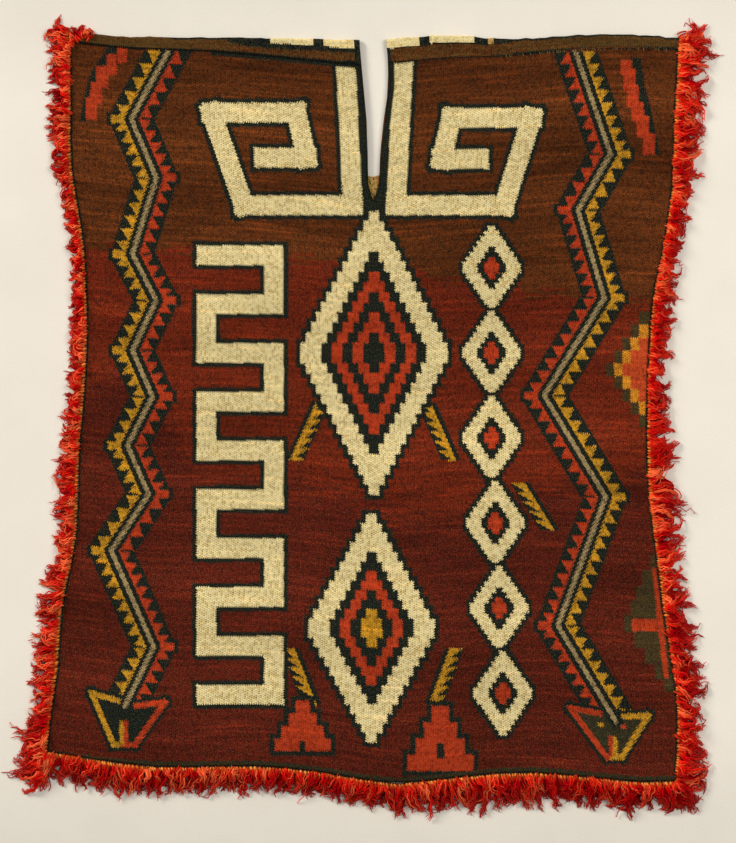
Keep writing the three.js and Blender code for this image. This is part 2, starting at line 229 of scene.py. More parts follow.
def makeWearGroup():
    # Patches where the wool has faded or felted, in metres over the whole garment.
    scalar = "NodeSocketFloat"
    tree, given, result = newGroup(
        "woolWear",
        [("Patch Size", scalar, 0.05)],
        [("Faded", scalar), ("Nap", scalar)],
    )
    place = addNode(tree, "ShaderNodeTexCoord").outputs["Object"]
    scale = compute(tree, "DIVIDE", 1.0, given["Patch Size"])
    patch = addNoise(tree, place, scale, wearLook["detail"], wearLook["rough"])
    tree.links.new(ranged(tree, patch, *wearLook["faded"]), result["Faded"])
    tree.links.new(addNoise(tree, place, wearLook["napScale"], 3.0), result["Nap"])
    return tree


weaveGroup = makeWeaveGroup()
wearGroup = makeWearGroup()

# Each woven colour: its main shade, the darker shade flecked through it, how bright the painted shade in
# the gaps between its beads leaves it, how strongly the passes of weft streak, and how far it fades in worn
# patches.
yarns = {
    "brown": {"shade": "#5d2a0c", "fleck": "#28150a", "paintedGapShade": 0.42, "streak": 0.8, "faded": 0.18},
    "wine": {"shade": "#6d1d0a", "fleck": "#340f09", "paintedGapShade": 0.44, "streak": 0.55, "faded": 0.2},
    "plum": {"shade": "#59150c", "fleck": "#2c0c09", "paintedGapShade": 0.44, "streak": 0.6, "faded": 0.15},
    "night": {"shade": "#0c1815", "fleck": "#10191b", "paintedGapShade": 0.7, "streak": 0.3, "faded": 0.12},
    "cream": {"shade": "#e7d59b", "fleck": "#bd9c57", "paintedGapShade": 0.3, "streak": 0.25, "faded": 0.2},
    "scarlet": {"shade": "#ae3618", "fleck": "#801b0b", "paintedGapShade": 0.48, "streak": 0.4, "faded": 0.2},
    "gold": {"shade": "#c08a20", "fleck": "#6c440b", "paintedGapShade": 0.44, "streak": 0.4, "faded": 0.2},
    "buff": {"shade": "#9c865c", "fleck": "#3e301a", "paintedGapShade": 0.46, "streak": 0.3, "faded": 0.15},
    "ochre": {"shade": "#b8924e", "fleck": "#6e5426", "paintedGapShade": 0.5, "streak": 0.3, "faded": 0.15},
    "olive": {"shade": "#3c3019", "fleck": "#251f14", "paintedGapShade": 0.65, "streak": 0.4, "faded": 0.15},
    "orange": {"shade": "#bd4520", "fleck": "#8e2a12", "paintedGapShade": 0.45, "streak": 0.4, "faded": 0.2},
    "amber": {"shade": "#cd8420", "fleck": "#8c530f", "paintedGapShade": 0.42, "streak": 0.3, "faded": 0.2},
    "bark": {"shade": "#553a18", "fleck": "#38260f", "paintedGapShade": 0.65, "streak": 0.4, "faded": 0.15},
    "soot": {"shade": "#2e2b1b", "fleck": "#1a1c16", "paintedGapShade": 0.7, "streak": 0.3, "faded": 0.1},
}
yarnNames = list(yarns)
code = {name: k for k, name in enumerate(yarnNames)}

# What the yarns share: how beads and fibres mix the two shades, how pale the lint is, how strongly
# streaks and dye lots show, how deep the painted shade between the beads goes, and the finish of the wool.
wool = {
    "ribDepth": 0.6, "patchSize": 0.06, "mixed": (0.4, 1.15), "fibre": 3.0,
    "lint": (0.5, 0.64, 0, 0.9), "lintGain": (1.2, 1.15, 1.0), "lintLift": (0.07, 0.05, 0.018),
    "uneven": 0.3, "lots": [("Streak", 1.5), ("Dye Lot", 2.2)],
    "rusty": (1.6, 1.25, 0.95, 1), "rustyFrom": (0.56, 0.7), "pale": (1.35, 1.3, 1.25, 1),
    "deep": (0.8, 0.6), "paintedGapShadeFrom": (0.15, 1.1), "rough": (0.15, 0.8), "sheen": 0.015, "sheenRough": 0.6,
    "specular": 0.05, "relief": 0.5, "bump": 0.6, "bumpDeep": 0.4 * mm,
}  # fmt: skip


def makeYarnMaterial(name):
    yarn = yarns[name]
    material, tree, shader = newMaterial(f"{name}Tapestry")
    weave = addNode(tree, "ShaderNodeGroup", node_tree=weaveGroup)
    weave.inputs["Rib Depth"].default_value = wool["ribDepth"]
    wear = addNode(tree, "ShaderNodeGroup", node_tree=wearGroup)
    wear.inputs["Patch Size"].default_value = wool["patchSize"]
    made = weave.outputs
    # Beads of two shades, crossed by finer fibres, some of them pale.
    shade, fleck = hexColour(yarn["shade"]), hexColour(yarn["fleck"])
    fibre = compute(tree, "MULTIPLY_ADD", made["Fibre"], wool["fibre"], -wool["fibre"] / 2)
    mixed = compute(tree, "ADD", made["Bead"], fibre)
    colour = mixColour(tree, ranged(tree, mixed, *wool["mixed"]), shade, fleck)
    lint = (*[c * gain + lift for c, gain, lift in zip(shade, wool["lintGain"], wool["lintLift"])], 1)
    colour = mixColour(tree, ranged(tree, made["Fibre"], *wool["lint"]), colour, lint)
    for kind, share in wool["lots"]:
        amount = share * (wool["uneven"] * yarn["streak"])
        colour = multiplied(tree, colour, ranged(tree, made[kind], 0.3, 0.7, 1 - amount, 1 + amount))
    rusty = ranged(tree, made["Streak"], *wool["rustyFrom"], 0, yarn["streak"])
    colour = mixColour(tree, rusty, colour, multiplied(tree, colour, wool["rusty"]))
    faded = compute(tree, "MULTIPLY", wear.outputs["Faded"], yarn["faded"])
    colour = mixColour(tree, faded, colour, multiplied(tree, colour, wool["pale"]))
    # Painted shade in the gaps between beads, deeper on some beads than others.
    deep = compute(tree, "MULTIPLY_ADD", made["Bead"], *wool["deep"])
    deep = compute(tree, "MULTIPLY", made["Painted Gap Shade"], deep)
    colour = multiplied(tree, colour, ranged(tree, deep, *wool["paintedGapShadeFrom"], 1.0, yarn["paintedGapShade"]))
    tree.links.new(colour, shader.inputs["Base Color"])
    rough = compute(tree, "MULTIPLY_ADD", wear.outputs["Nap"], *wool["rough"])
    tree.links.new(rough, shader.inputs["Roughness"])
    shader.inputs["Sheen Weight"].default_value = wool["sheen"]
    shader.inputs["Sheen Roughness"].default_value = wool["sheenRough"]
    shader.inputs["Sheen Tint"].default_value = shade
    shader.inputs["Specular IOR Level"].default_value = wool["specular"]
    relief = compute(tree, "MULTIPLY_ADD", made["Fibre"], wool["relief"], made["Height"])
    addBump(tree, shader, relief, wool["bump"], wool["bumpDeep"])
    return material


yarnMaterials = [makeYarnMaterial(name) for name in yarnNames]
print("yarns ready")


def rimOf(node):
    # The outline of a CAD panel's upper face, as one closed line.
    mesh = bpy.data.objects[node].data
    spots = np.round(np.array([v.co for v in mesh.vertices]), 7)
    names = {}
    ids = [names.setdefault(tuple(p), len(names)) for p in spots]
    points = np.array(list(names))
    uses = {}
    for face in mesh.polygons:
        if face.normal.z > 0.5:
            corners = [ids[v] for v in face.vertices]
            for a, b in zip(corners, corners[1:] + corners[:1]):
                uses.setdefault((min(a, b), max(a, b)), []).append((a, b))
    after = {}
    for pairs in uses.values():
        if len(pairs) == 1:
            after[pairs[0][0]] = pairs[0][1]
    start = next(iter(after))
    loop = [start]
    while after[loop[-1]] != start:
        loop.append(after[loop[-1]])
    return points[loop]


def stretch(loop, start, end, step):
    count = len(loop)
    line = [start]
    while line[-1] != end:
        line.append((line[-1] + step) % count)
    return loop[line]


def edgesOf(node):
    # The outline cut at its corners into named lines, each from its upper or left end.
    loop = rimOf(node)
    x, y = loop[:, 0], loop[:, 1]
    area = float(np.sum(x * np.roll(y, -1) - np.roll(x, -1) * y))
    if area < 0:
        loop = loop[::-1]
        x, y = loop[:, 0], loop[:, 1]
    lowLeft, lowRight = int(np.argmin(x + y)), int(np.argmax(x - y))
    topLeft, topRight = int(np.argmax(y - x)), int(np.argmax(x + y))
    count = len(loop)
    top = [topRight]
    while top[-1] != topLeft:
        top.append((top[-1] + 1) % count)
    foot = min(top, key=lambda k: y[k])
    rightPart, leftPart = top[: top.index(foot) + 1], top[top.index(foot) :]
    neckRight = max(rightPart, key=lambda k: y[k] - x[k])
    neckLeft = max(leftPart, key=lambda k: y[k] + x[k])
    return {
        "left": stretch(loop, topLeft, lowLeft, 1),
        "hem": stretch(loop, lowLeft, lowRight, 1),
        "right": stretch(loop, topRight, lowRight, -1),
        "slitRight": stretch(loop, neckRight, foot, 1),
        "slitLeft": stretch(loop, neckLeft, foot, -1),
        "topLeft": stretch(loop, topLeft, neckLeft, -1),
        "topRight": stretch(loop, neckRight, topRight, -1),
    }


def readX(line, y):
    order = np.argsort(line[:, 1])
    return np.interp(y, line[order, 1], line[order, 0])


def readY(line, x):
    order = np.argsort(line[:, 0])
    return np.interp(x, line[order, 0], line[order, 1])


# The cloth's grid: the weft's step, how many half warps each half has, the largest plain block, the
# rows above the slit's foot that keep an edge, how far the cloth's edge turns down, and how often the
# grid is fitted to the outline.
weaveSizes = {
    "weft": 1.9 * mm, "halfWarps": 270, "coarse": 20, "footRows": (1, 2, 3, 8, 16, 32, 48),
    "turned": 0.42 * mm, "rounds": 6,
}  # fmt: skip


def warpGrid(edges):
    # Points at every half warp and half weft step: x and y by row (from the top) and column. The
    # columns of the slit's two edges are doubled, so the slit can stand open.
    half = weaveSizes["halfWarps"]
    foot = edges["slitLeft"][-1]
    topMiddle = edges["slitLeft"][0][1]
    hemMiddle = readY(edges["hem"], foot[0])
    step = weaveSizes["weft"] / 2
    slitRows = int(round((topMiddle - foot[1]) / step))
    restRows = int(round((foot[1] - hemMiddle) / step))
    share = (topMiddle - foot[1]) / (topMiddle - hemMiddle)
    above, under = np.linspace(0, share, slitRows + 1), np.linspace(share, 1, restRows + 1)[1:]
    drop = np.concatenate([above, under])[:, None]
    hemCentre = (edges["left"][-1][0] + edges["right"][-1][0]) / 2
    halves = []
    for side in ("left", "right"):
        slit, top = f"slit{side.capitalize()}", f"top{side.capitalize()}"
        u = np.linspace(0, 1, half + 1)[None, :]
        y = topMiddle + (hemMiddle - topMiddle) * drop + 0 * u
        for _ in range(weaveSizes["rounds"]):
            outer = readX(edges[side], y)
            below = np.clip((foot[1] - y) / (foot[1] - hemMiddle), 0, 1)
            middle = foot[0] + (hemCentre - foot[0]) * below
            inner = np.where(drop <= share, readX(edges[slit], y), middle)
            x = outer + (inner - outer) * u
            head, hem = readY(edges[top], x), readY(edges["hem"], x)
            y = head + (hem - head) * drop
            y[slitRows, -1] = foot[1]
        halves.append((x, y))
    (xl, yl), (xr, yr) = halves
    x = np.concatenate([xl, xr[:, ::-1]], axis=1)
    y = np.concatenate([yl, yr[:, ::-1]], axis=1)
    # Below the slit the two middle columns are one.
    x[slitRows:, half + 1] = x[slitRows:, half]
    y[slitRows:, half + 1] = y[slitRows:, half]
    return x, y, slitRows


# The motifs are drawn in millimetres over the cloth.
def inside(x, y, corners):
    hit = np.zeros(x.shape, bool)
    for (xa, ya), (xb, yb) in zip(corners, corners[1:] + corners[:1]):
        if ya != yb:
            crosses = (ya > y) != (yb > y)
            hit ^= crosses & (x < xa + (y - ya) * (xb - xa) / (yb - ya))
    return hit


def nearLine(x, y, line):
    # Distance to a line of straight stretches, with square corners.
    best = np.full(x.shape, 1e9)
    for (xa, ya), (xb, yb) in zip(line, line[1:]):
        run = math.hypot(xb - xa, yb - ya)
        ux, uy = (xb - xa) / run, (yb - ya) / run
        lengthwise = (x - xa) * ux + (y - ya) * uy
        past = np.maximum(np.maximum(-lengthwise, lengthwise - run), 0)
        best = np.minimum(best, np.maximum(past, np.abs((x - xa) * uy - (y - ya) * ux)))
    return best


def paintBar(labels, x, y, line, bar):
    away = nearLine(x, y, line)
    labels[away <= bar["wide"] / 2 + bar["outline"]] = code["night"]
    labels[away <= bar["wide"] / 2] = code[bar["yarn"]]


def paintDiamond(labels, x, y, diamond):
    # Rings of steps about a middle. Each ring is two half steps deep, so that it holds together.
    (cx, cy), step, outline = diamond["centre"], diamond["step"], diamond["outline"]
    dx, dy = np.abs(x - cx), np.abs(y - cy)
    wide = np.floor(np.maximum(dx - outline, 0) / step[0]) + np.floor(np.maximum(dy - outline, 0) / step[1])
    rings = diamond["rings"]
    labels[wide < 2 * len(rings)] = code["night"]
    ring = np.floor((np.floor(dx / step[0]) + np.floor(dy / step[1])) / 2)
    for k, yarn in enumerate(rings):
        labels[ring == k] = code[yarn]


def paintPyramid(labels, x, y, shape):
    # Steps that narrow upwards, in yarn on a dark ground of the same form, with a dark door.
    (cx, base), (run, rise) = shape["foot"], shape["step"]
    outline, levels = pyramid["outline"], pyramid["levels"]
    dx, dy = np.abs(x - cx), y - base
    level = np.floor(np.maximum(dy - outline, 0) / rise)
    ground = (dy > -outline) & (dx - outline < run * (levels - level))
    labels[ground & (level < levels)] = code["night"]
    level = np.floor(dy / rise)
    body = (dy >= 0) & (level < levels) & (dx < run * (levels - level))
    labels[body] = code[pyramid["yarn"]]
    wide, sill, tall = shape["door"]
    labels[(dy >= sill) & (dy < sill + tall) & (dx < wide)] = code["night"]


# The two zigzag bands: a buff core between dark lines, teeth at both sides and a dark edge. Widths
# are from the core's middle, square to the band. "turns" are the core's corners, each with a square
# tooth at its outside and a dark notch at its inside.
zigzag = {
    "core": 1.75,
    "gap": 5.5,
    "spine": 6.3,
    "teeth": 15.0,
    "edge": 17.0,
    "pitch": 10.1,
    "block": 3.2,
    "blockProud": 0.8,
    "blockRim": (2, 2.5),
    "notch": 1.0,
    "notchFrom": 1.6,
    "head": {"outline": 5.2, "line": 2.2, "neck": 5, "above": (14, 16), "tongue": 3.3, "dot": (2, 1.5)},
    "bands": [
        {
            "turns": [
                (-164, 286), (-194, 231), (-174, 184), (-193, 123), (-174, 86), (-193, 46),
                (-177, 9), (-197, -30), (-180, -69), (-210, -114), (-176, -191), (-199, -238),
            ],
            "yarns": ("gold", "scarlet"),
            "head": {
                "outer": [
                    (-225.6, -228), (-204, -234), (-190, -238), (-167, -235), (-191, -269), (-208, -269),
                ],
                "middle": (-200, -250),
                "ground": "night",
                "dots": [],
            },
        },
        {
            "turns": [
                (161, 285), (189, 203), (163, 158), (184, 88), (136, 10), (185, -71),
                (147, -174), (193, -250),
            ],
            "yarns": ("scarlet", "gold"),
            "head": {
                "outer": [
                    (157, -240), (180, -244), (200, -246.5), (219, -246), (198, -279), (186, -279),
                ],
                "middle": (191, -262),
                "ground": "soot",
                "dots": [(181.4, -253.4, "gold"), (199.2, -254.4, "scarlet")],
            },
        },
    ],
}  # fmt: skip


def paintZigzag(labels, x, y, band):
    turns = band["turns"]
    stretches = []
    for (xa, ya), (xb, yb) in zip(turns, turns[1:]):
        lean = (xb - xa) / (ya - yb)
        away = (x - (xa + (ya - y) * lean)) / math.hypot(1, lean)
        stretches.append((ya, yb, lean, (y <= ya) & (y > yb), away))
    for _, _, _, here, away in stretches:
        labels[here & (np.abs(away) < zigzag["edge"])] = code["night"]
    for ya, yb, lean, here, away in stretches:
        count = max(2, round((ya - yb) / zigzag["pitch"]))
        phase = np.mod((ya - y) / (ya - yb) * count, 1)
        for sign, yarn in zip((-1, 1), band["yarns"]):
            # A tooth's tip is at its top on the side that the band leans to, and else at its foot.
            wide = 1 - phase if sign * lean > 0 else phase
            tip = zigzag["spine"] + (zigzag["teeth"] - zigzag["spine"]) * wide**1.15
            out = away * sign
            labels[here & (out >= zigzag["gap"]) & (out < tip)] = code[yarn]
    # The square tooth outside each turn, and the notch inside it.
    rim, beyond = zigzag["blockRim"]
    for before, turn, after in zip(turns, turns[1:], turns[2:]):
        sign = 1 if turn[0] > (before[0] + after[0]) / 2 else -1
        out = (x - turn[0]) * sign
        near = np.abs(y - turn[1])
        ground = (near < zigzag["block"] + rim) & (out > zigzag["spine"] + rim)
        labels[ground & (out < zigzag["edge"] + beyond)] = code["night"]
        tooth = (near < zigzag["block"]) & (out > zigzag["gap"])
        yarn = band["yarns"][(sign + 1) // 2]
        labels[tooth & (out < zigzag["teeth"] + zigzag["blockProud"])] = code[yarn]
        notched = (near < zigzag["notch"]) & (-out > zigzag["spine"] + zigzag["notchFrom"])
        labels[notched & (-out < zigzag["edge"])] = code["night"]
    for _, _, _, here, away in stretches:
        labels[here & (np.abs(away) < zigzag["core"])] = code["buff"]
    paintHead(labels, x, y, band, turns[-2:])


def paintHead(labels, x, y, band, neck):
    # An arrowhead at the band's end: two hooked lines of its yarns on a ground, and a tongue below.
    head, (left, right), sizes = band["head"], band["yarns"], zigzag["head"]
    outer = head["outer"]
    labels[nearLine(x, y, outer + outer[:1]) < sizes["outline"]] = code["night"]
    labels[inside(x, y, outer)] = code[head["ground"]]
    mx, my = head["middle"]
    hooked = {
        left: [outer[1], outer[0], outer[5], (mx, outer[5][1])],
        right: [outer[2], outer[3], outer[4], (mx, outer[4][1])],
    }
    for yarn, line in hooked.items():
        labels[nearLine(x, y, line) < sizes["line"]] = code[yarn]
    away = nearLine(x, y, neck)
    for yarn, wide, above in zip(("night", "buff"), (sizes["neck"], zigzag["core"]), sizes["above"]):
        labels[(away < wide) & (y < neck[1][1] + above)] = code[yarn]
    tongue = (np.abs(x - mx) < sizes["tongue"]) & (y < my) & (y > outer[-1][1])
    labels[tongue & (x < mx)] = code[left]
    labels[tongue & (x >= mx)] = code[right]
    wide, tall = sizes["dot"]
    for dx, dy, yarn in head["dots"]:
        labels[(np.abs(x - dx) < wide) & (np.abs(y - dy) < tall)] = code[yarn]


# Cream bars with dark outlines: squared hooks beside the neck, and a key band down the left.
hooks = {"yarn": "cream", "wide": 15.5, "outline": 3.6}
hookLines = [
    [(-22.5, 275), (-17, 162), (-104, 162), (-130, 236), (-62, 236), (-54, 200), (-88, 200)],
    [(23.5, 276), (17.5, 162), (104, 162), (126, 232), (62, 232), (54, 199), (84, 199)],
]
keyBand = {"left": -134, "right": -80, "top": 122, "pitch": 39, "bars": 10}

# Concentric diamonds of steps, each from its middle outwards.
diamonds = [
    {
        "centre": (0, 44), "step": (4.2, 8.1), "outline": 3.6,
        "rings": ["night", "scarlet", "night", "scarlet", "night", "cream", "cream"],
    },
    {
        "centre": (-2, -176), "step": (4.2, 7.6), "outline": 3.6,
        "rings": ["gold", "night", "scarlet", "night", "cream", "cream"],
    },
]  # fmt: skip
chain = {
    "centres": [(94, 112), (94, 44), (94, -24), (97, -92), (100, -160), (103, -228)],
    "step": (2.9, 4.2),
    "outline": 3,
    "rings": ["scarlet", "night", "cream", "cream"],
}
pyramids = [
    {"foot": (-57, -274), "step": (5.6, 10), "door": (2.4, 0, 8)},
    {"foot": (53, -290), "step": (6.6, 13), "door": (3.2, 10, 12)},
]
pyramid = {"levels": 4, "yarn": "scarlet", "outline": 4}

# Small toothed bars on the slant: across a bar, where its dark ground and its teeth lie and how deep
# the teeth are. Then each bar's two ends.
toothed = {"pitch": 7.6, "ground": (-10, 5.5), "teeth": (-9.5, 1.5), "deep": 8.5}
toothedBars = [
    ((-44, 6), (-66, -42)), ((44, 4), (64, -42)), ((-65, -192), (-47, -238)),
    ((119, -60), (143, -98)), ((62, -192), (46, -236)),
]  # fmt: skip

# Stairs of blocks beside the shoulders, each with a dark shape behind it. A block is its middle and
# its size.
stairs = [
    {
        "blocks": [
            (-201.2, 282.2, 8.2, 12.6), (-209.7, 274.2, 7.8, 16.5), (-217.3, 264.6, 9.1, 17.4),
            (-222.1, 251.6, 9.1, 18.2), (-226, 239.2, 9, 17.8),
        ],
        "shade": [
            (-211.4, 289.4), (-204, 289), (-219.2, 254.4), (-230, 229.2), (-235.3, 229), (-232.8, 242.4),
            (-228.3, 262), (-223.2, 273.3),
        ],
    },
    {
        "blocks": [
            (201.4, 272, 8.6, 12.8), (204.4, 262.4, 9.6, 17), (206.8, 248.8, 9.6, 18),
            (210.8, 236.8, 9.6, 16), (214.8, 224.8, 10, 17), (219.6, 211.2, 9.6, 17),
        ],
        "shade": [
            (206.4, 279.6), (213.2, 279.6), (216.4, 257.6), (222, 236.8), (228.2, 202.8), (222.8, 202.8),
            (212.8, 230.4), (206.4, 262.4),
        ],
    },
]  # fmt: skip

# Two motifs that run off the cloth's right-hand edge.
halfDiamond = {
    "centre": (218.3, 30.6), "step": (6.6, 10.3), "rings": ["orange", "orange", "orange", "amber", "olive"],
}  # fmt: skip
lowerRight = {
    "steps": [
        (-129.6, -118, 221), (-142, -129.6, 214.4), (-154, -142, 209.3), (-166, -154, 205.3),
        (-179.2, -166, 200), (-191.8, -179.2, 208), (-205, -191.8, 216.6), (-217, -205, 224.6),
        (-226.4, -217, 231.8),
    ],
    "bar": (206, -178.6, -168.6),
    "line": [(224.2, -130), (233.5, -214.4)],
    "lineWide": 2.1,
}  # fmt: skip


def paintToothedBar(labels, x, y, ends):
    (xa, ya), (xb, yb) = ends
    lean = (xb - xa) / (ya - yb)
    out = (x - (xa + (ya - y) * lean)) * (1 if lean > 0 else -1)
    here = (y <= ya) & (y > yb)
    phase = np.mod((ya - y) / toothed["pitch"], 1)
    (low, high), (tip, edge) = toothed["ground"], toothed["teeth"]
    labels[here & (out > low) & (out < high)] = code["night"]
    labels[here & (out > tip + toothed["deep"] * phase) & (out < edge)] = code["gold"]


def paintStairs(labels, x, y, stair):
    labels[inside(x, y, stair["shade"])] = code["night"]
    for cx, cy, wide, tall in stair["blocks"]:
        labels[(np.abs(x - cx) < wide / 2) & (np.abs(y - cy) < tall / 2)] = code["scarlet"]


def paintHalfDiamond(labels, x, y):
    # Whole steps, one to a ring, above and below a middle row.
    (cx, cy), (run, rise) = halfDiamond["centre"], halfDiamond["step"]
    ring = np.floor(np.abs(x - cx) / run) + np.floor(np.abs(y - cy) / rise + 0.5)
    for k, yarn in enumerate(halfDiamond["rings"]):
        labels[ring == k] = code[yarn]


def paintLowerRight(labels, x, y):
    # Olive steps, a scarlet bar across them, and a thin scarlet line up the edge.
    for low, high, left in lowerRight["steps"]:
        labels[(y > low) & (y <= high) & (x > left)] = code["olive"]
    left, low, high = lowerRight["bar"]
    labels[(x > left) & (y > low) & (y < high)] = code["scarlet"]
    labels[nearLine(x, y, lowerRight["line"]) < lowerRight["lineWide"]] = code["scarlet"]


# The ground's three dyes. The first change lies at "top", falls to the right and drops at two places,
# the second follows its line, and "mixed" is how far passes of both reach at each.
groundDyes = {
    "pass": 1.9, "patch": 17, "top": 131, "fall": 0.07, "left": -230, "drops": [(40, 9), (120, 6)],
    "second": [(-190, 20), (-150, -40), (60, -90), (150, -60)], "mixed": (13, 36),
}  # fmt: skip


def scattered(a, b):
    # A number from 0 to 1 that looks like chance and is the same each time for the same two numbers.
    value = np.sin(a * 12.9 + b * 78.2) * 43758.5
    return value - np.floor(value)


def paintGround(x, y, mixing=1.0):
    # Brown above, then wine, then a deeper wine. Where a dye lot ran out, passes of both were mixed.
    passes = np.floor(y / groundDyes["pass"])
    mixed = (scattered(passes, np.floor(x / groundDyes["patch"] + 3 * np.sin(passes))) - 0.5) * mixing
    first = groundDyes["top"] - groundDyes["fall"] * (x - groundDyes["left"])
    for at, drop in groundDyes["drops"]:
        first = first - drop * (x > at)
    second = np.interp(x, *zip(*groundDyes["second"]))
    upper, lower = groundDyes["mixed"]
    labels = np.where(y + upper * mixed > first, code["brown"], code["wine"])
    labels[y + lower * mixed < second] = code["plum"]
    return labels


# The dark edge warps, by how wide they are: down the sides, along the hem from left to right, along the
# shoulders beside the slit and further out, and beside the slit at its foot and above it. Down the sides
# the dark selvedge also stands in for the shade in the seam with the heading, as painted shade.
edgeWarps = {
    "side": 1.1, "hem": [(-240, 1.6), (-180, 4.2)], "beside": 130, "shoulder": {-1: 3.6, 1: 1.2},
    "outer": 0.6, "slit": 3.2, "wider": [(0, 0), (20, 1.2)], "under": 8,
}  # fmt: skip


def paintEdges(labels, x, y, edges):
    sides = np.minimum(x - readX(edges["left"], y * mm) / mm, readX(edges["right"], y * mm) / mm - x)
    # The sides' dark selvedge, partly painted shade of the seam with the heading.
    labels[sides < edgeWarps["side"]] = code["soot"]
    deep = np.interp(x, *zip(*edgeWarps["hem"]))
    labels[y - readY(edges["hem"], x * mm) / mm < deep] = code["soot"]
    for side, sign in (("Left", -1), ("Right", 1)):
        top, slit = edges[f"top{side}"], edges[f"slit{side}"]
        mine = x * sign > 0
        deep = np.where(np.abs(x) < edgeWarps["beside"], edgeWarps["shoulder"][sign], edgeWarps["outer"])
        labels[mine & (readY(top, x * mm) / mm - y < deep)] = code["night"]
        foot = slit[-1][1] / mm
        width = edgeWarps["slit"] + np.interp(y - foot, *zip(*edgeWarps["wider"]))
        away = (x - readX(slit, y * mm) / mm) * sign
        labels[mine & (y > foot - edgeWarps["under"]) & (away < width)] = code["night"]


# A dark patch round the slit's foot, and what of the inside shows through the slit.
slitPatch = {"wide": 13, "from": 156, "to": 200}
throughSlit = {
    "from": 150, "to": 190, "ochre": (-9, 3), "scarlet": 10, "slant": 0.8, "pitch": 5.4, "line": 1.2,
    "step": 3.8,
}  # fmt: skip


def paintFront(x, y, edges):
    labels = paintGround(x, y)
    patch = (np.abs(x) < slitPatch["wide"]) & (y > slitPatch["from"]) & (y < slitPatch["to"])
    labels[patch] = code["night"]
    for band in zigzag["bands"]:
        paintZigzag(labels, x, y, band)
    for stair in stairs:
        paintStairs(labels, x, y, stair)
    for ends in toothedBars:
        paintToothedBar(labels, x, y, ends)
    paintHalfDiamond(labels, x, y)
    paintLowerRight(labels, x, y)
    for shape in pyramids:
        paintPyramid(labels, x, y, shape)
    keys = []
    for k in range(keyBand["bars"]):
        pair = [keyBand["left"], keyBand["right"]]
        if k % 2:
            pair.reverse()
        keys += [(edge, keyBand["top"] - k * keyBand["pitch"]) for edge in pair]
    paintBar(labels, x, y, keys, hooks)
    for line in hookLines:
        paintBar(labels, x, y, line, hooks)
    for centre in chain["centres"]:
        paintDiamond(labels, x, y, {**chain, "centre": centre})
    for diamond in diamonds:
        paintDiamond(labels, x, y, diamond)
    paintEdges(labels, x, y, edges)
    return labels


def paintBack(x, y, edges):
    labels = paintGround(x, y, 0)
    for band in zigzag["bands"]:
        paintZigzag(labels, x, y, band)
    paintDiamond(labels, x, y, {**diamonds[0], "centre": (0, -60)})
    paintEdges(labels, x, y, edges)
    return labels


def paintInner(x, y, edges):
    # The inside faces are plain, but for what shows through the slit.
    seen = throughSlit
    (left, middle), right = seen["ochre"], seen["scarlet"]
    labels = paintGround(x, y, 0)
    beside = (y > seen["from"]) & (y < seen["to"])
    patch = beside & (x > left) & (x < middle)
    labels[patch] = code["ochre"]
    lined = np.mod(x + seen["slant"] * y, seen["pitch"]) < seen["line"]
    labels[patch & lined & (np.mod(y, seen["step"]) < seen["step"] / 2)] = code["night"]
    labels[beside & (x >= middle) & (x < right)] = code["scarlet"]
    return labels


def addPiece(name, points, faces, materials, indices):
    mesh = bpy.data.meshes.new(name)
    mesh.from_pydata(points, [], faces)
    for material in materials:
        mesh.materials.append(material)
    if indices is not None:
        mesh.polygons.foreach_set("material_index", np.asarray(indices, np.int32))
    mesh.polygons.foreach_set("use_smooth", np.full(len(faces), True))
    mesh.update()
    piece = addObject(name, mesh)
    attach(piece, "root")
    return piece


def setAttribute(piece, name, values):
    attribute = piece.data.attributes.new(name, "FLOAT_VECTOR", "POINT")
    filled = np.zeros((len(piece.data.vertices), 3), np.float32)
    filled[:, : values.shape[1]] = values
    attribute.data.foreach_set("vector", filled.ravel())


def weaveLabels(x, y, half, paint, edges):
    # The colour of each half warp by half weft cell. Both ways, a colour's edge is moved by half a
    # step on every other row and warp, which dovetails upright edges and ticks level ones.
    rows, columns = x.shape[0] - 1, x.shape[1] - 2
    row, column = np.arange(rows)[:, None], np.arange(columns)[None, :]
    oddRow, oddWarp = row & 1, column & 1
    atColumn = np.clip(2 * ((column + oddRow) // 2) + 1 - oddRow, 0, columns)
    atColumn = atColumn + (atColumn > half)
    atRow = np.clip(2 * ((row + oddWarp) // 2) + 1 - oddWarp, 0, rows)
    return paint(x[atRow, atColumn] / mm, y[atRow, atColumn] / mm, edges)


def patternBoxes(labels, half, slitRows):
    # Rectangles of one colour. Plain blocks stay whole, and the rest are cut into runs along the
    # weft. A narrow row and column at each edge let the edge turn down.
    rows, columns = labels.shape
    coarse = weaveSizes["coarse"]
    nearFoot = [slitRows - step for step in weaveSizes["footRows"]]
    rowCuts = sorted({*range(0, rows - 4, coarse), 2, *nearFoot, slitRows, rows - 2, rows})
    inner = {2, half - 2, half, half + 2, columns - 2, columns}
    columnCuts = sorted({*range(0, half - 4, coarse), *range(half + coarse, columns - 4, coarse), *inner})
    boxes = []
    for top, bottom in zip(rowCuts, rowCuts[1:]):
        for left, right in zip(columnCuts, columnCuts[1:]):
            block = labels[top:bottom, left:right]
            if (block == block[0, 0]).all():
                boxes.append((top, bottom, left, right, int(block[0, 0])))
                continue
            current = {}
            for r in range(top, bottom):
                line = labels[r, left:right]
                ends = [0, *(np.flatnonzero(np.diff(line)) + 1).tolist(), right - left]
                runs = {(left + a, left + b, int(line[a])) for a, b in zip(ends, ends[1:])}
                for run in [k for k in current if k not in runs]:
                    boxes.append((current.pop(run), r, *run))
                for run in runs:
                    current.setdefault(run, r)
            boxes += [(start, bottom, *run) for run, start in current.items()]
    return boxes


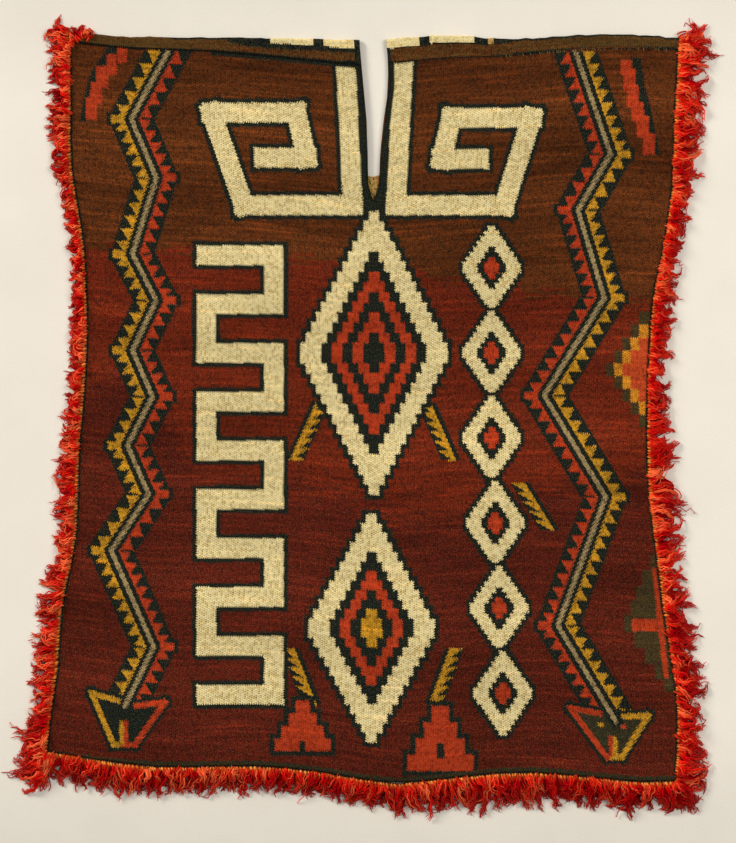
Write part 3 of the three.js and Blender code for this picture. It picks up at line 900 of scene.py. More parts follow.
def boxFaces(boxes, half, slitRows, extra=()):
    # One face to a rectangle, with every corner that lies on its edges, so that nothing gapes.
    # Columns right of the slit have a number more, and the slit's two edges are one below its foot.
    def key(r, c):
        return (r, half) if c == half + 1 and r >= slitRows else (r, c)

    placed = []
    corners = set(extra)
    for top, bottom, left, right, _ in boxes:
        a, b = left + (left >= half), right + (right > half)
        placed.append((top, bottom, a, b))
        corners |= {key(top, a), key(top, b), key(bottom, a), key(bottom, b)}
    onRow, onColumn = {}, {}
    for r, c in corners:
        onRow.setdefault(r, []).append(c)
        onColumn.setdefault(c, []).append(r)
    onRow = {r: np.sort(line) for r, line in onRow.items()}
    onColumn = {c: np.sort(line) for c, line in onColumn.items()}

    def between(line, low, high):
        return line[np.searchsorted(line, low, "right") : np.searchsorted(line, high, "left")].tolist()

    index = {}
    faces = []
    for top, bottom, a, b in placed:
        ring = [key(top, a)]
        low = key(bottom, a)[1]
        ring += [(r, low) for r in between(onColumn[low], top, bottom)]
        ring.append(key(bottom, a))
        ring += [(bottom, c) for c in between(onRow[bottom], low, b)]
        ring.append((bottom, b))
        ring += [(r, b) for r in reversed(between(onColumn[b], top, bottom))]
        ring.append((top, b))
        ring += [(top, c) for c in reversed(between(onRow[top], key(top, a)[1], b))]
        faces.append([index.setdefault(k, len(index)) for k in dict.fromkeys(ring)])
    return list(index), faces


def rimEdges(faces):
    # The edges that only one face has, each with that face's number.
    uses = {}
    for number, face in enumerate(faces):
        for a, b in zip(face, face[1:] + face[:1]):
            if uses.pop((b, a), None) is None:
                uses[a, b] = number
    return uses


# How the slits end: the back's square across, at its height and width, and the front's blunter than
# a plain point, by how much wider over which reach above its foot.
slitEnds = {
    "square": 185 * mm, "wide": 9.6 * mm, "over": 30 * mm, "deep": 0.2 * mm,
    "reach": 40 * mm, "blunter": 1.1 * mm,
}  # fmt: skip


def squareFoot(edges):
    middle = edges["slitLeft"][-1][0]
    foot = slitEnds["square"]
    for name, sign in (("slitLeft", -1), ("slitRight", 1)):
        line = edges[name]
        kept = line[line[:, 1] > foot]
        corner = np.array([[readX(line, foot), foot, line[-1][2]]])
        shaped = np.concatenate([kept, corner])
        least = middle + sign * slitEnds["wide"] / 2
        widened = np.maximum(sign * shaped[:, 0], sign * least) * sign
        shaped[:, 0] = np.where(shaped[:, 1] < foot + slitEnds["over"], widened, shaped[:, 0])
        edges[name] = np.concatenate([shaped, [[middle, foot - slitEnds["deep"], line[-1][2]]]])
    return edges


def bluntFoot(edges):
    for name, sign in (("slitLeft", -1), ("slitRight", 1)):
        line = edges[name]
        share = np.clip((line[:, 1] - line[-1][1]) / slitEnds["reach"], 0, 1)
        line[:, 0] += sign * slitEnds["blunter"] * np.sin(math.pi * share**0.7)
    return edges


def weaveSheet(name, node, outer, heights, paints, shapeSlit):
    # A panel as cloth: the outer face with its pattern, the inner face, and a rounded edge between
    # them. outer is 1 where the pattern faces up and -1 where it faces down.
    edges = shapeSlit(edgesOf(node))
    x, y, slitRows = warpGrid(edges)
    half = weaveSizes["halfWarps"]
    upper, lower = (0, 1) if outer > 0 else (1, 0)
    shown = patternBoxes(weaveLabels(x, y, half, paints[0], edges), half, slitRows)
    spots, faces = boxFaces(shown, half, slitRows)
    rim = rimEdges(faces)
    edgeSpots = {spots[a] for a, _ in rim}
    hidden = patternBoxes(weaveLabels(x, y, half, paints[1], edges), half, slitRows)
    innerSpots, innerFaces = boxFaces(hidden, half, slitRows, edgeSpots)
    count = len(spots)
    tones = [box[4] for box in shown] + [box[4] for box in hidden]
    if outer > 0:
        innerFaces = [face[::-1] for face in innerFaces]
    else:
        faces = [face[::-1] for face in faces]
    joined = faces + [[v + count for v in face] for face in innerFaces]
    innerAt = {spot: count + k for k, spot in enumerate(innerSpots)}
    for (a, b), number in rim.items():
        wall = [b, a, innerAt[spots[a]], innerAt[spots[b]]]
        joined.append(wall if outer > 0 else wall[::-1])
        tones.append(shown[number][4])
    r, c = np.array(spots + innerSpots).T
    px, py = x[r, c], y[r, c]
    pz = np.empty(len(r))
    turned = weaveSizes["turned"] * np.array([float(spot in edgeSpots) for spot in spots + innerSpots])
    for part, level in ((slice(0, count), upper), (slice(count, None), lower)):
        pz[part] = heights[level](px[part], py[part]) + turned[part] * (1 if level else -1)
    piece = addPiece(name, np.stack([px, py, pz], axis=1), joined, yarnMaterials, tones)
    setAttribute(piece, "weave", np.stack([(c - (c > half)) / 2, r / 2], axis=1))
    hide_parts(node)
    return piece, edges


# How finely a panel's height is read, and how often it is smoothed.
levelGrid = {"across": 61, "down": 71, "smoothed": 3}


def heightField(node):
    # The height of a CAD panel's upper face, smoothed so that its facets don't show.
    mesh = bpy.data.objects[node].data
    mesh.calc_loop_triangles()
    spots = [v.co for v in mesh.vertices]
    tree = BVHTree.FromPolygons(spots, [t.vertices for t in mesh.loop_triangles])
    low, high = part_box(node)
    xs, ys = (np.linspace(low[k], high[k], levelGrid[way]) for k, way in enumerate(("across", "down")))
    field = np.full((len(ys), len(xs)), np.nan)
    for j, fy in enumerate(ys):
        for i, fx in enumerate(xs):
            hit = tree.ray_cast(Vector((fx, fy, 0.1)), Vector((0, 0, -1)))
            if hit[0]:
                field[j, i] = hit[0].z
    field = np.where(np.isnan(field), np.nanmin(field), field)
    for _ in range(levelGrid["smoothed"]):
        around = np.pad(field, 1, mode="edge")
        sideways = around[1:-1, :-2] + around[1:-1, 2:]
        field = (2 * around[1:-1, 1:-1] + around[:-2, 1:-1] + around[2:, 1:-1] + sideways) / 6

    def read(x, y):
        u, v = (
            np.clip((at - line[0]) / (line[1] - line[0]), 0, len(line) - 1.001)
            for at, line in ((x, xs), (y, ys))
        )
        i, j = u.astype(int), v.astype(int)
        a, b = u - i, v - j
        a, b = a * a * (3 - 2 * a), b * b * (3 - 2 * b)
        near = field[j, i] * (1 - a) + field[j, i + 1] * a
        far = field[j + 1, i] * (1 - a) + field[j + 1, i + 1] * a
        return near * (1 - b) + far * b

    return read


# The cloth's thickness, and the shallow waves it lies in, which only rise: how high they are, how close
# across and along, and how far and how closely each bends.
creases = {"cloth": 1.5 * mm, "high": 0.5 * mm, "across": (31, 1.7, 12), "along": (23, 0.8, 17)}


def roll(x, y):
    (across, swing, by), (along, sway, per) = creases["across"], creases["along"]
    slow = np.sin(x * across + swing * np.sin(y * by)) * np.sin(y * along + sway * np.sin(x * per + 1))
    return creases["high"] * 0.5 * (1 + slow)


frontLevel = heightField("front_panel")


def frontTop(x, y):
    return frontLevel(x, y) + roll(x, y)


def frontUnder(x, y):
    return frontTop(x, y) - creases["cloth"]


def backTop(x, y):
    return creases["cloth"] + 0 * x


def backUnder(x, y):
    return 0 * x


makeCamera()
makeLights()
front, frontEdges = weaveSheet(
    "frontCloth", "front_panel", 1, (frontTop, frontUnder), (paintFront, paintInner), bluntFoot
)
back, _ = weaveSheet(
    "backCloth", "back_panel", -1, (backTop, backUnder), (paintBack, paintInner), squareFoot
)
print("cloth woven")

# The shoulder bands, each folded over the shoulder. Their rows of faces in front, round the fold and
# behind, and the dark edge beside the slit. By place in millimetres: the dark line along the foot and
# the one at the head, how far the foot laps over the front, and how far the back's design stands above
# the band.
shoulderBand = {
    "columns": 256, "front": 13, "fold": 6, "back": 3, "lining": (3, 4, 1), "slit": {-1: 5.0, 1: 2.2},
    "foot": [
        (-246, 0.8), (-170, 0.5), (-110, 0.8), (-60, 1.0), (-30, 1.6), (-12, 2.4), (10, 0.3), (90, 0.5),
        (120, 1.7), (246, 1.8),
    ],
    "brow": [
        (-246, 1.0), (-122, 0.8), (-100, 3.0), (-67, 4.2), (-12, 2.6), (9, 1.6), (20, 0.6), (80, 0.8),
        (246, 0.8),
    ],
    "lap": [
        (-246, 0), (8, 0.4), (20, 1.6), (60, 2.6), (100, 2.0), (130, 1.6), (170, 2.6), (200, 3.0),
        (225, 1.8), (246, 0.8),
    ],
    "shown": [
        (-246, 0), (-170, 0), (-160, 1.1), (-122, 1.3), (-108, 3.4), (-99, 4.0), (-48, 5.5), (-10, 8.5),
        (10, 8), (36, 7), (80, 5.5), (96, 4.4), (110, 1.9), (246, 1.2),
    ],
    "blocks": [
        (-83, -49, "cream"), (-41, -16, "cream"), (8, 36, "cream"), (44, 80, "cream"), (91, 95, "ochre"),
    ],
    "jag": 0.9, "brown": (0.5, 175, 80), "slitFrom": 8, "uneven": 0.28, "bends": 45, "waves": 0.9,
    "sunk": (-0.1 * mm, 0.4 * mm), "apart": 0.3 * mm, "wefts": 1.4, "closed": 0.4,
}  # fmt: skip


def bandAt(key, x):
    return np.interp(x, *zip(*shoulderBand[key]))


def bandLines(node):
    # The front edge, the fold and the back edge of a CAD shoulder band, from left to right.
    spots = np.unique(np.round(np.array([v.co for v in bpy.data.objects[node].data.vertices]), 6), axis=0)
    z = spots[:, 2]
    shares = {"front": 1, "fold": 0.5, "back": 0}
    level = {name: spots[np.abs(z - share * z.max()) < 2e-5] for name, share in shares.items()}
    fold = level["fold"]
    fold = np.array([p for p in fold if p[1] >= fold[np.abs(fold[:, 0] - p[0]) < 1e-4, 1].max()])
    lines = {"fold": fold[:, :2]}
    for name in ("front", "back"):
        line = level[name]
        lines[name] = line[line[:, 1] < readY(fold, line[:, 0]) - 0.004][:, :2]
    return lines


def bandTone(x, up, depth, column):
    # The colour at a place on the band: up is the distance above the front edge, over the fold too.
    jag = shoulderBand["jag"] * (column & 1)
    shown = bandAt("shown", x)
    if up < bandAt("foot", x) + jag:
        return "night"
    if up > depth - shown - 0.5 * jag:
        for left, right, yarn in shoulderBand["blocks"]:
            if left < x < right:
                return yarn
        return "night" if shown > 0.6 else "bark"
    if up > depth - shown - bandAt("brow", x) - jag and shown > 2:
        return "night"
    share, edge, fade = shoulderBand["brown"]
    browner = share * min(1, max(0.1, (edge - abs(x)) / fade))
    return "brown" if scattered(column, int(up)) < browner else "bark"


def foldBand(name, node, sign):
    lines = bandLines(node)
    band = shoulderBand
    columns, bends = band["columns"], band["bends"]
    half = columns // 2
    t = np.linspace(0, 1, columns + 1)
    line = {}
    for key, points in lines.items():
        at = np.linspace(0, 1, len(points))
        line[key] = np.stack([np.interp(t, at, points[:, 0]), np.interp(t, at, points[:, 1])], axis=1)
    uneven = np.random.default_rng(50 + sign).normal(0, band["uneven"], bends) * mm
    line["fold"][:, 1] += np.interp(t, np.linspace(0, 1, bends), uneven)
    # Right of the neck the foot laps over the front's edge.
    lap = bandAt("lap", line["front"][:, 0] / mm) * mm
    line["foot"] = line["front"] - np.column_stack([0 * lap, lap])
    thick = creases["cloth"]
    high = 2 * thick + band["apart"]

    def section(level, radius, counts, front):
        # Front edge, fold and back edge at one distance from the band's middle surface.
        forward, turn, backward = counts
        rows = []
        middle = line["fold"] - [0, high / 2]
        for k in range(forward):
            share = k / forward
            xy = line[front] + (middle - line[front]) * share
            wave = roll(*xy.T) * (1 - share) ** 0.5 * band["waves"]
            rows.append(np.column_stack([xy, high - level + wave]))
        for k in range(turn + 1):
            angle = math.pi / 2 - math.pi * k / turn
            across = middle + [0, radius * math.cos(angle)]
            rows.append(np.column_stack([across, np.full(len(t), high / 2 + radius * math.sin(angle))]))
        for k in range(1, backward + 1):
            xy = middle + (line["back"] - middle) * (k / backward)
            rows.append(np.column_stack([xy, np.full(len(t), level)]))
        return rows

    outer = section(0, high / 2, (band["front"], band["fold"], band["back"]), "foot")
    inner = section(thick, high / 2 - thick, band["lining"], "front")[::-1]
    rings = outer + inner
    count, width = len(rings), columns + 1
    points = np.concatenate(rings)
    least, most = band["sunk"]
    points[:width, 2] -= np.maximum(most - lap, least)
    depth = (line["fold"] - line["foot"])[:, 1] / mm
    steps = [float(np.linalg.norm(b[half] - a[half])) for a, b in zip(rings, rings[1:])]
    climbed = np.cumsum([0] + steps) / mm
    faces, tones = [], []
    for k in range(count):
        after = (k + 1) % count
        for c in range(columns):
            faces.append([k * width + c, k * width + c + 1, after * width + c + 1, after * width + c])
            x = rings[k][c][0] / mm
            edge = abs(x - rings[k][-1 if sign < 0 else 0][0] / mm)
            up = (climbed[k] + climbed[min(k + 1, count - 1)]) / 2 * depth[c] / depth[half]
            if edge < band["slit"][sign] and (sign < 0 or up < depth[c] - band["slitFrom"]):
                tones.append(code["night"])
                continue
            tones.append(code[bandTone(x, up, depth[c], c) if k < len(outer) else "bark"])
    faces += [[k * width for k in range(count)][::-1], [k * width + columns for k in range(count)]]
    tones += [code["night"]] * 2
    piece = addPiece(name, points, faces, yarnMaterials, tones)
    number = np.arange(len(points))
    weave = [(number % width) / 2, climbed[number // width] / band["wefts"], band["closed"] + 0 * number]
    setAttribute(piece, "weave", np.stack(weave, axis=1))
    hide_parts(node)
    return piece, {**lines, "foot": line["foot"]}


leftBand, leftLines = foldBand("shoulderBandLeft", "shoulder_left", -1)
rightBand, rightLines = foldBand("shoulderBandRight", "shoulder_right", 1)
print("shoulders folded")

# The fringe's heading and how far down the armholes and sides go, and the levels between which it
# lies. Places along an edge are in millimetres: downwards from the shoulder, and along the hem from
# the slit.
shoulderTop = 296 * mm
fringeSizes = {
    "gap": 0.3 * mm, "strip": 3 * mm, "lift": 0.3 * mm, "step": 1.5 * mm, "armhole": 116,
    "side": (116.6, 590), "marks": 240,
}  # fmt: skip
levels = {
    "whole": (0.3 * mm, 3.3 * mm),
    "upper": (1.8 * mm, 3.3 * mm),
    "lower": (0.3 * mm, 1.5 * mm),
}

# By place along each edge: how long the locks are, which way they lean in radians (downwards, or to the
# right along the hem), their hue and shade beside the wool's own, redder or more orange and darker or
# lighter, the shade being painted light and shade (lighter on the right, darker along the hem), and how
# much of the heading they leave bare.
fringeEdges = {
    "left": {
        "long": [
            (0, 20), (90, 16), (150, 9), (215, 13), (275, 12), (335, 18), (372, 16), (415, 15), (455, 20),
            (530, 20), (592, 26),
        ],
        "lean": [(0, -0.45), (14, -0.3), (60, 0.05), (300, 0.12), (450, 0.35), (540, 0.45), (592, 0.55)],
        "hue": [(0, 0.02), (120, 0.06), (592, 0.1)],
        "shade": [(0, 0.96), (592, 0.98)],
        "bare": [(0, 1.9), (400, 2.3)],
    },
    "right": {
        "long": [
            (0, 28), (90, 23), (150, 16), (215, 18), (275, 15), (335, 22), (372, 27), (415, 19), (455, 24),
            (530, 23), (592, 24),
        ],
        "lean": [
            (0, -0.3), (14, -0.2), (60, 0.0), (140, 0.25), (300, 0.0), (420, 0.15), (500, 0.45), (592, 0.5),
        ],
        "hue": [(0, -0.08), (120, -0.02), (592, -0.08)],
        "shade": [(0, 1.14), (330, 1.1), (592, 1.05)],
        "bare": [(0, 1.0), (330, 1.2), (592, 1.6)],
    },
    "hem": {
        "long": [(-262, 26), (-200, 23), (-100, 20), (-20, 20), (30, 24), (90, 28), (160, 23), (245, 26)],
        "lean": [(-262, -0.4), (-235, -0.1), (0, 0), (215, 0.1), (245, 0.4)],
        "hue": [(-262, -0.02), (246, -0.08)],
        "shade": [(-262, 0.88), (246, 0.88)],
        "bare": [(-262, 1.9), (246, 1.8)],
    },
}  # fmt: skip


def distances(line):
    return np.concatenate([[0], np.cumsum(np.hypot(*np.diff(line[:, :2], axis=0).T))])


def pointsAt(line, where, s):
    return np.stack([np.interp(s, where, line[:, k]) for k in (0, 1)], axis=1)


def edgeRun(name, line, outward, level):
    # Even stations along a line: place, direction along and off it, levels, and the edge's own values.
    where = distances(line)
    count = max(3, int(round(where[-1] / fringeSizes["step"])))
    s = np.linspace(0, where[-1], count + 1)
    spot = pointsAt(line, where, s)
    kernel = np.ones(9) / 9
    padded = np.pad(np.gradient(spot, axis=0), ((4, 4), (0, 0)), mode="edge")
    along = np.stack([np.convolve(padded[:, k], kernel, "valid") for k in (0, 1)], axis=1)
    along /= np.linalg.norm(along, axis=1)[:, None]
    off = np.stack([along[:, 1], -along[:, 0]], axis=1) * outward
    mark = spot[:, 0] / mm if name == "hem" else (shoulderTop - spot[:, 1]) / mm
    run = {key: np.interp(mark, *zip(*table)) for key, table in fringeEdges[name].items()}
    run["long"] = run["long"] * mm
    # What lies above the back's cloth rises with the front.
    rise = frontTop(*spot.T) - backTop(*spot.T) - creases["cloth"] - fringeSizes["lift"]
    low, high = (at + rise * (at > creases["cloth"]) for at in levels[level])
    return {**run, "s": s, "spot": spot, "along": along, "off": off, "low": low, "high": high}


def readRun(run, key, s):
    values = run[key]
    if values.ndim == 1:
        return np.interp(s, run["s"], values)
    return np.stack([np.interp(s, run["s"], values[:, k]) for k in range(values.shape[1])], axis=-1)


# The outer ends of the shoulders' folds, where the sides start.
corners = {"left": leftLines["fold"][0], "right": rightLines["fold"][-1]}


def sideRun(half, start, end, level):
    # From start to end down a side, from the corner of its shoulder band.
    line = np.concatenate([[corners[half]], frontEdges[half][:, :2]])
    down = (shoulderTop - line[:, 1]) / mm
    marks = np.linspace(start, end, fringeSizes["marks"])
    line = np.stack([np.interp(marks, down, line[:, 0]), shoulderTop - marks * mm], axis=1)
    return edgeRun(half, line, 1 if half == "left" else -1, level)


def tubes(paths, radii, sides):
    # Many thin tubes at once. paths is (strands, points, 3) and radii is (strands, points).
    ahead = np.gradient(paths, axis=1)
    ahead /= np.maximum(np.linalg.norm(ahead, axis=2, keepdims=True), 1e-9)
    level = np.cross(ahead, [0, 0, 1.0])
    level /= np.maximum(np.linalg.norm(level, axis=2, keepdims=True), 1e-6)
    upward = np.cross(level, ahead)
    angle = 2 * math.pi * np.arange(sides) / sides + math.pi / 2
    across, above = (part(angle)[None, None, :, None] for part in (np.cos, np.sin))
    ring = level[:, :, None] * across + upward[:, :, None] * above
    points = paths[:, :, None] + ring * radii[:, :, None, None]
    n, k = paths.shape[:2]
    index = np.arange(n * k * sides).reshape(n, k, sides)
    a, b = index[:, :-1], index[:, 1:]
    quads = np.stack([a, np.roll(a, -1, axis=2), np.roll(b, -1, axis=2), b], axis=-1).reshape(-1, 4)
    return points.reshape(-1, 3), quads


# The fringe's yarn, in millimetres: its thickness at root and tip, its frizz, and how many strands
# stray. Then how much locks and strands differ from each other.
fringeYarn = {"thick": 0.7, "tip": 0.34, "segments": 8, "frizz": 0.66, "wave": (4.5, 8.5), "stray": 0.05}
lockChance = {
    "place": 0.28, "lean": 0.32, "long": (0.74, 1.24), "bend": 0.65, "hooked": 0.5, "hook": (1.0, 2.8),
    "wiggle": (0.3, 0.95), "wiggleLong": 9, "hue": 0.27, "shade": 0.1, "bareSway": (0.8, 17), "bare": 0.7,
    "bow": (0.7, 1.25), "tip": (0.5, 2.4),
}  # fmt: skip
strandChance = {
    "long": (0.76, 1.06), "strayLong": 1.15, "strayTurn": 0.45, "turn": 0.06, "across": 0.3, "deep": 0.45,
    "frizz": (0.4, 1.5), "lift": 0.35, "root": 0.3, "thick": (0.75, 1.15), "hue": (0.2, 0.2),
    "shade": (0.13, 0.16), "shades": (0.45, 1.3), "clear": 0.05,
}  # fmt: skip

# Locks in layers, from the lowest. Each layer's pitch, its locks' width and how far they draw together,
# their strands, their share of the edge's length, their bow, their level between the heading's foot
# and top, and their hue and shade; the shade is painted shade and light, the lower layers darker as if
# shaded by those above and the top one lighter. The last is the back's, which hardly shows.
fringeLayers = [
    {
        "pitch": 4.2, "width": 8.5, "pinch": 0.74, "strands": 10, "reach": 1.0, "bow": 1.0, "level": 0.15,
        "hue": 0.2, "shade": 0.72,
    },
    {
        "pitch": 4.8, "width": 7.8, "pinch": 0.8, "strands": 11, "reach": 1.0, "bow": 2.8, "level": 0.5,
        "hue": 0.42, "shade": 0.95,
    },
    {
        "pitch": 5.2, "width": 6.2, "pinch": 0.82, "strands": 9, "reach": 0.68, "bow": 4.2, "level": 0.85,
        "hue": 0.54, "shade": 1.1,
    },
    {
        "pitch": 5.2, "width": 8.5, "pinch": 0.74, "strands": 9, "reach": 1.0, "bow": 1.0, "level": 0.15,
        "hue": 0.2, "shade": 0.72,
    },
]  # fmt: skip


def growLocks(run, layer, crest, chance, reach):
    # Each lock has its own curved way. Its strands start side by side, draw together and frizz.
    yarn, lockBy, strandBy = fringeYarn, lockChance, strandChance
    total = run["s"][-1]
    locks = max(3, int(round(total / (layer["pitch"] * mm))))
    place = np.arange(locks) + 0.5 + chance.normal(0, lockBy["place"], locks)
    at = np.clip(place * total / locks, 0, total)
    here = {key: readRun(run, key, at) for key in run if key != "s"}
    lean = here["lean"] + chance.normal(0, lockBy["lean"], locks)
    long = here["long"] * layer["reach"] * reach * chance.uniform(*lockBy["long"], locks)
    bend = chance.normal(0, lockBy["bend"], locks)
    hooked = chance.random(locks) < lockBy["hooked"]
    hook = np.where(hooked, np.sign(bend) * chance.uniform(*lockBy["hook"], locks), 0)
    wiggle, start = chance.uniform(*lockBy["wiggle"], locks), chance.uniform(0, 2 * math.pi, locks)
    hue = chance.normal(layer["hue"], lockBy["hue"], locks) + here["hue"]
    shade = (layer["shade"] + chance.normal(0, lockBy["shade"], locks)) * here["shade"]
    swing, length = lockBy["bareSway"]
    bare = here["bare"] + swing * np.sin(at / (length * mm) + start[0])
    bare = bare + chance.uniform(-lockBy["bare"], lockBy["bare"], locks)

    # Which way each strand points at each of its steps.
    lock = np.repeat(np.arange(locks), layer["strands"])
    n = len(lock)
    t = np.linspace(0, 1, yarn["segments"] + 1)[None, :]
    own = long[lock] * chance.uniform(*strandBy["long"], n)
    stray = chance.random(n) < yarn["stray"]
    own = np.where(stray, own * strandBy["strayLong"], own)
    share = (own / long[lock])[:, None] * t
    turns = 2 * math.pi * share * long[lock][:, None] / (lockBy["wiggleLong"] * mm) + start[lock][:, None]
    angle = lean[lock][:, None] + bend[lock][:, None] * share**1.3 + hook[lock][:, None] * share**3
    angle = angle + wiggle[lock][:, None] * np.sin(turns) * (0.3 + 0.7 * t)
    strays, others = (chance.normal(0, strandBy[key], n) for key in ("strayTurn", "turn"))
    angle = angle + np.where(stray, strays, others)[:, None] * t**0.5
    off, along = here["off"][lock][:, None], here["along"][lock][:, None]
    ahead = off * np.cos(angle)[..., None] + along * np.sin(angle)[..., None]
    sideways = along * np.cos(angle)[..., None] - off * np.sin(angle)[..., None]
    way = np.cumsum(ahead[:, :-1] * (own / yarn["segments"])[:, None, None], axis=1)
    way = np.concatenate([np.zeros((n, 1, 2)), way], axis=1)

    # Seen from above: beside each other in the lock, with a frizz.
    across, deep = (chance.normal(0, strandBy["across"], n)[:, None] for _ in range(2))
    drawn = 1 - layer["pinch"] * t**0.8
    wave = chance.uniform(*yarn["wave"], n)[:, None] * mm
    ripple = 2 * math.pi * t * own[:, None] / wave + chance.uniform(0, 2 * math.pi, n)[:, None]
    frizz = yarn["frizz"] * mm * np.sin(ripple) * np.minimum(t * 3, 1)
    frizz = frizz * chance.uniform(*strandBy["frizz"], n)[:, None]
    shift = across * layer["width"] * mm * drawn + frizz
    out = (bare[lock] + chance.normal(0, strandBy["root"], n))[:, None] * mm
    root = here["spot"][lock] + here["off"][lock] * out
    flat = root[:, None] + way + sideways * shift[..., None]

    # Its height: from the heading in a bow down to the tip.
    low, high = here["low"][lock][:, None], here["high"][lock][:, None]
    bow = layer["bow"] * crest * mm * chance.uniform(*lockBy["bow"], locks)[lock][:, None]
    least, more = lockBy["tip"]
    tip = (least + more * layer["level"] * chance.random(locks)[lock][:, None]) * mm
    z = (low + (high - low) * layer["level"]) * (1 - t) + tip * t + bow * np.sin(math.pi * t**0.85)
    z = z + deep * layer["width"] * strandBy["deep"] * mm * drawn * np.minimum(t * 4, 1)
    z = z + strandBy["lift"] * mm * np.cos(ripple) * t
    radii = (yarn["thick"] + (yarn["tip"] - yarn["thick"]) * t**1.6) * mm
    radii = radii * chance.uniform(*strandBy["thick"], n)[:, None]
    z = np.maximum(z, radii + strandBy["clear"] * mm)

    spread, byDepth = strandBy["hue"]
    ownHue = np.clip(hue[lock] + chance.normal(0, spread, n) + byDepth * deep[:, 0], 0, 1)
    # Painted light: a strand higher in its lock gets a lighter shade, and darker strands lighten towards
    # their tips.
    spread, byDepth = strandBy["shade"]
    ownShade = shade[lock] + chance.normal(0, spread, n) + byDepth * deep[:, 0]
    ownShade = np.clip(ownShade, *strandBy["shades"])[:, None]
    ownShade = ownShade + np.maximum(here["shade"][lock][:, None] - ownShade, 0) * t**2
    tone = [np.repeat(ownHue[:, None], t.size, 1), np.repeat(t, n, 0), ownShade]
    return np.concatenate([flat, z[..., None]], axis=2), radii, np.stack(tone, axis=-1)


def growFringe(run, seed, layers=(0, 1, 2), crest=1.0, reach=1.0):
    chance = np.random.default_rng(seed)
    return [growLocks(run, fringeLayers[k], crest, chance, reach) for k in layers]


# Loose yarn: the colours that its strands run through, those of their roots and tips, and how rough
# it is; the fringe's paler tips are a painted glow of light through the thin ends. Then what the three share.
looseYarns = {
    "fringeWool": {
        "ramp": [(0.0, "#a8000a"), (0.3, "#c80409"), (0.62, "#e02210"), (1.0, "#f4703e")],
        "root": "#dc5420",
        "tip": "#f06048",
        "rough": 0.85,
    },
    "headingWool": {
        "ramp": [(0.0, "#c4381a"), (0.35, "#e06426"), (0.7, "#ea8a34"), (1.0, "#eca64a")],
        "root": "#de8230",
        "tip": "#e89440",
        "rough": 0.8,
    },
    "darkThread": {
        "ramp": [(0.0, "#12181a"), (0.5, "#1d201a"), (0.9, "#3a2a18"), (1.0, "#8f7c50")],
        "root": "#1c1a16",
        "tip": "#1c1a16",
        "rough": 0.85,
    },
}
looseWool = {
    "fibreScale": 900.0, "fibreRough": 0.7, "patchScale": 60.0, "root": (0.26, 0.02),
    "tip": (0.5, 1.0, 0, 0.3), "fleck": (0.3, 0.7, 0.75, 1.25), "specular": 0.04, "bump": 0.5,
    "bumpDeep": 0.3 * mm,
}  # fmt: skip


def makeLooseMaterial(name):
    # Each strand has its own hue. The roots take more of the heading's colour, and the tips are paler as
    # painted light through the thin ends.
    yarn, wool = looseYarns[name], looseWool
    material, tree, shader = newMaterial(name)
    own = addNode(tree, "ShaderNodeAttribute", attribute_name="strand").outputs["Vector"]
    axes = addNode(tree, "ShaderNodeSeparateXYZ", {0: own}).outputs
    hues = addNode(tree, "ShaderNodeValToRGB", {"Fac": axes["X"]})
    stops = hues.color_ramp.elements
    while len(stops) < len(yarn["ramp"]):
        stops.new(0.5)
    for stop, (at, shade) in zip(stops, yarn["ramp"]):
        stop.position, stop.color = at, hexColour(shade)
    place = addNode(tree, "ShaderNodeTexCoord").outputs["Object"]
    fibre = addNoise(tree, place, wool["fibreScale"], 3.0, wool["fibreRough"])
    patch = addNoise(tree, place, wool["patchScale"], 2.0)
    nearRoot = compute(tree, "MULTIPLY", ranged(tree, axes["Y"], *wool["root"]), patch, clamp=True)
    colour = mixColour(tree, nearRoot, hues.outputs[0], hexColour(yarn["root"]))
    # Painted light: the tips mix towards a paler colour.
    colour = mixColour(tree, ranged(tree, axes["Y"], *wool["tip"]), colour, hexColour(yarn["tip"]))
    colour = multiplied(tree, colour, ranged(tree, fibre, *wool["fleck"]))
    # The strand's shade multiplies its colour: its own tone together with painted light and shade.
    tree.links.new(multiplied(tree, colour, axes["Z"]), shader.inputs["Base Color"])
    shader.inputs["Roughness"].default_value = yarn["rough"]
    shader.inputs["Specular IOR Level"].default_value = wool["specular"]
    addBump(tree, shader, fibre, wool["bump"], wool["bumpDeep"])
    return material


fringeMaterial, headingMaterial, threadMaterial = (makeLooseMaterial(name) for name in looseYarns)
print("fringe wool ready")


def addStrands(name, parts, material, sides=3):
    points, faces, tones = [], [], []
    total = 0
    for paths, radii, tone in parts:
        spots, quads = tubes(paths, radii, sides)
        points.append(spots)
        faces.append(quads + total)
        tones.append(np.repeat(tone.reshape(-1, 3), sides, axis=0))
        total += len(spots)
    points, faces = np.concatenate(points), np.concatenate(faces).tolist()
    piece = addPiece(name, points, faces, [material], None)
    setAttribute(piece, "strand", np.concatenate(tones))
    return piece


# The heading: a narrow woven strip with yarn looped over it. A loop's points go from the strip's inner
# foot to its outer one: how far across it, at which level, and how thick the yarn is there.
headingSizes = {
    "loop": 2.4, "thick": 0.95, "slant": 0.9, "uneven": 0.22, "thickBy": (0.5, 1.25), "out": 0.3 * mm,
    "above": 0.1 * mm, "strip": 0.6 * mm, "hue": (0.55, 0.25), "shade": (0.9, 0.22), "shades": (0.4, 1.2),
    "path": [(0.05, 0.25, 0.7), (0.12, 0.85, 1), (0.45, 1.08, 1.05), (0.8, 0.9, 1), (1.0, 0.3, 0.8)],
    "along": 0.9, "stripTone": [0.1, 0.9, 0.6],
}  # fmt: skip


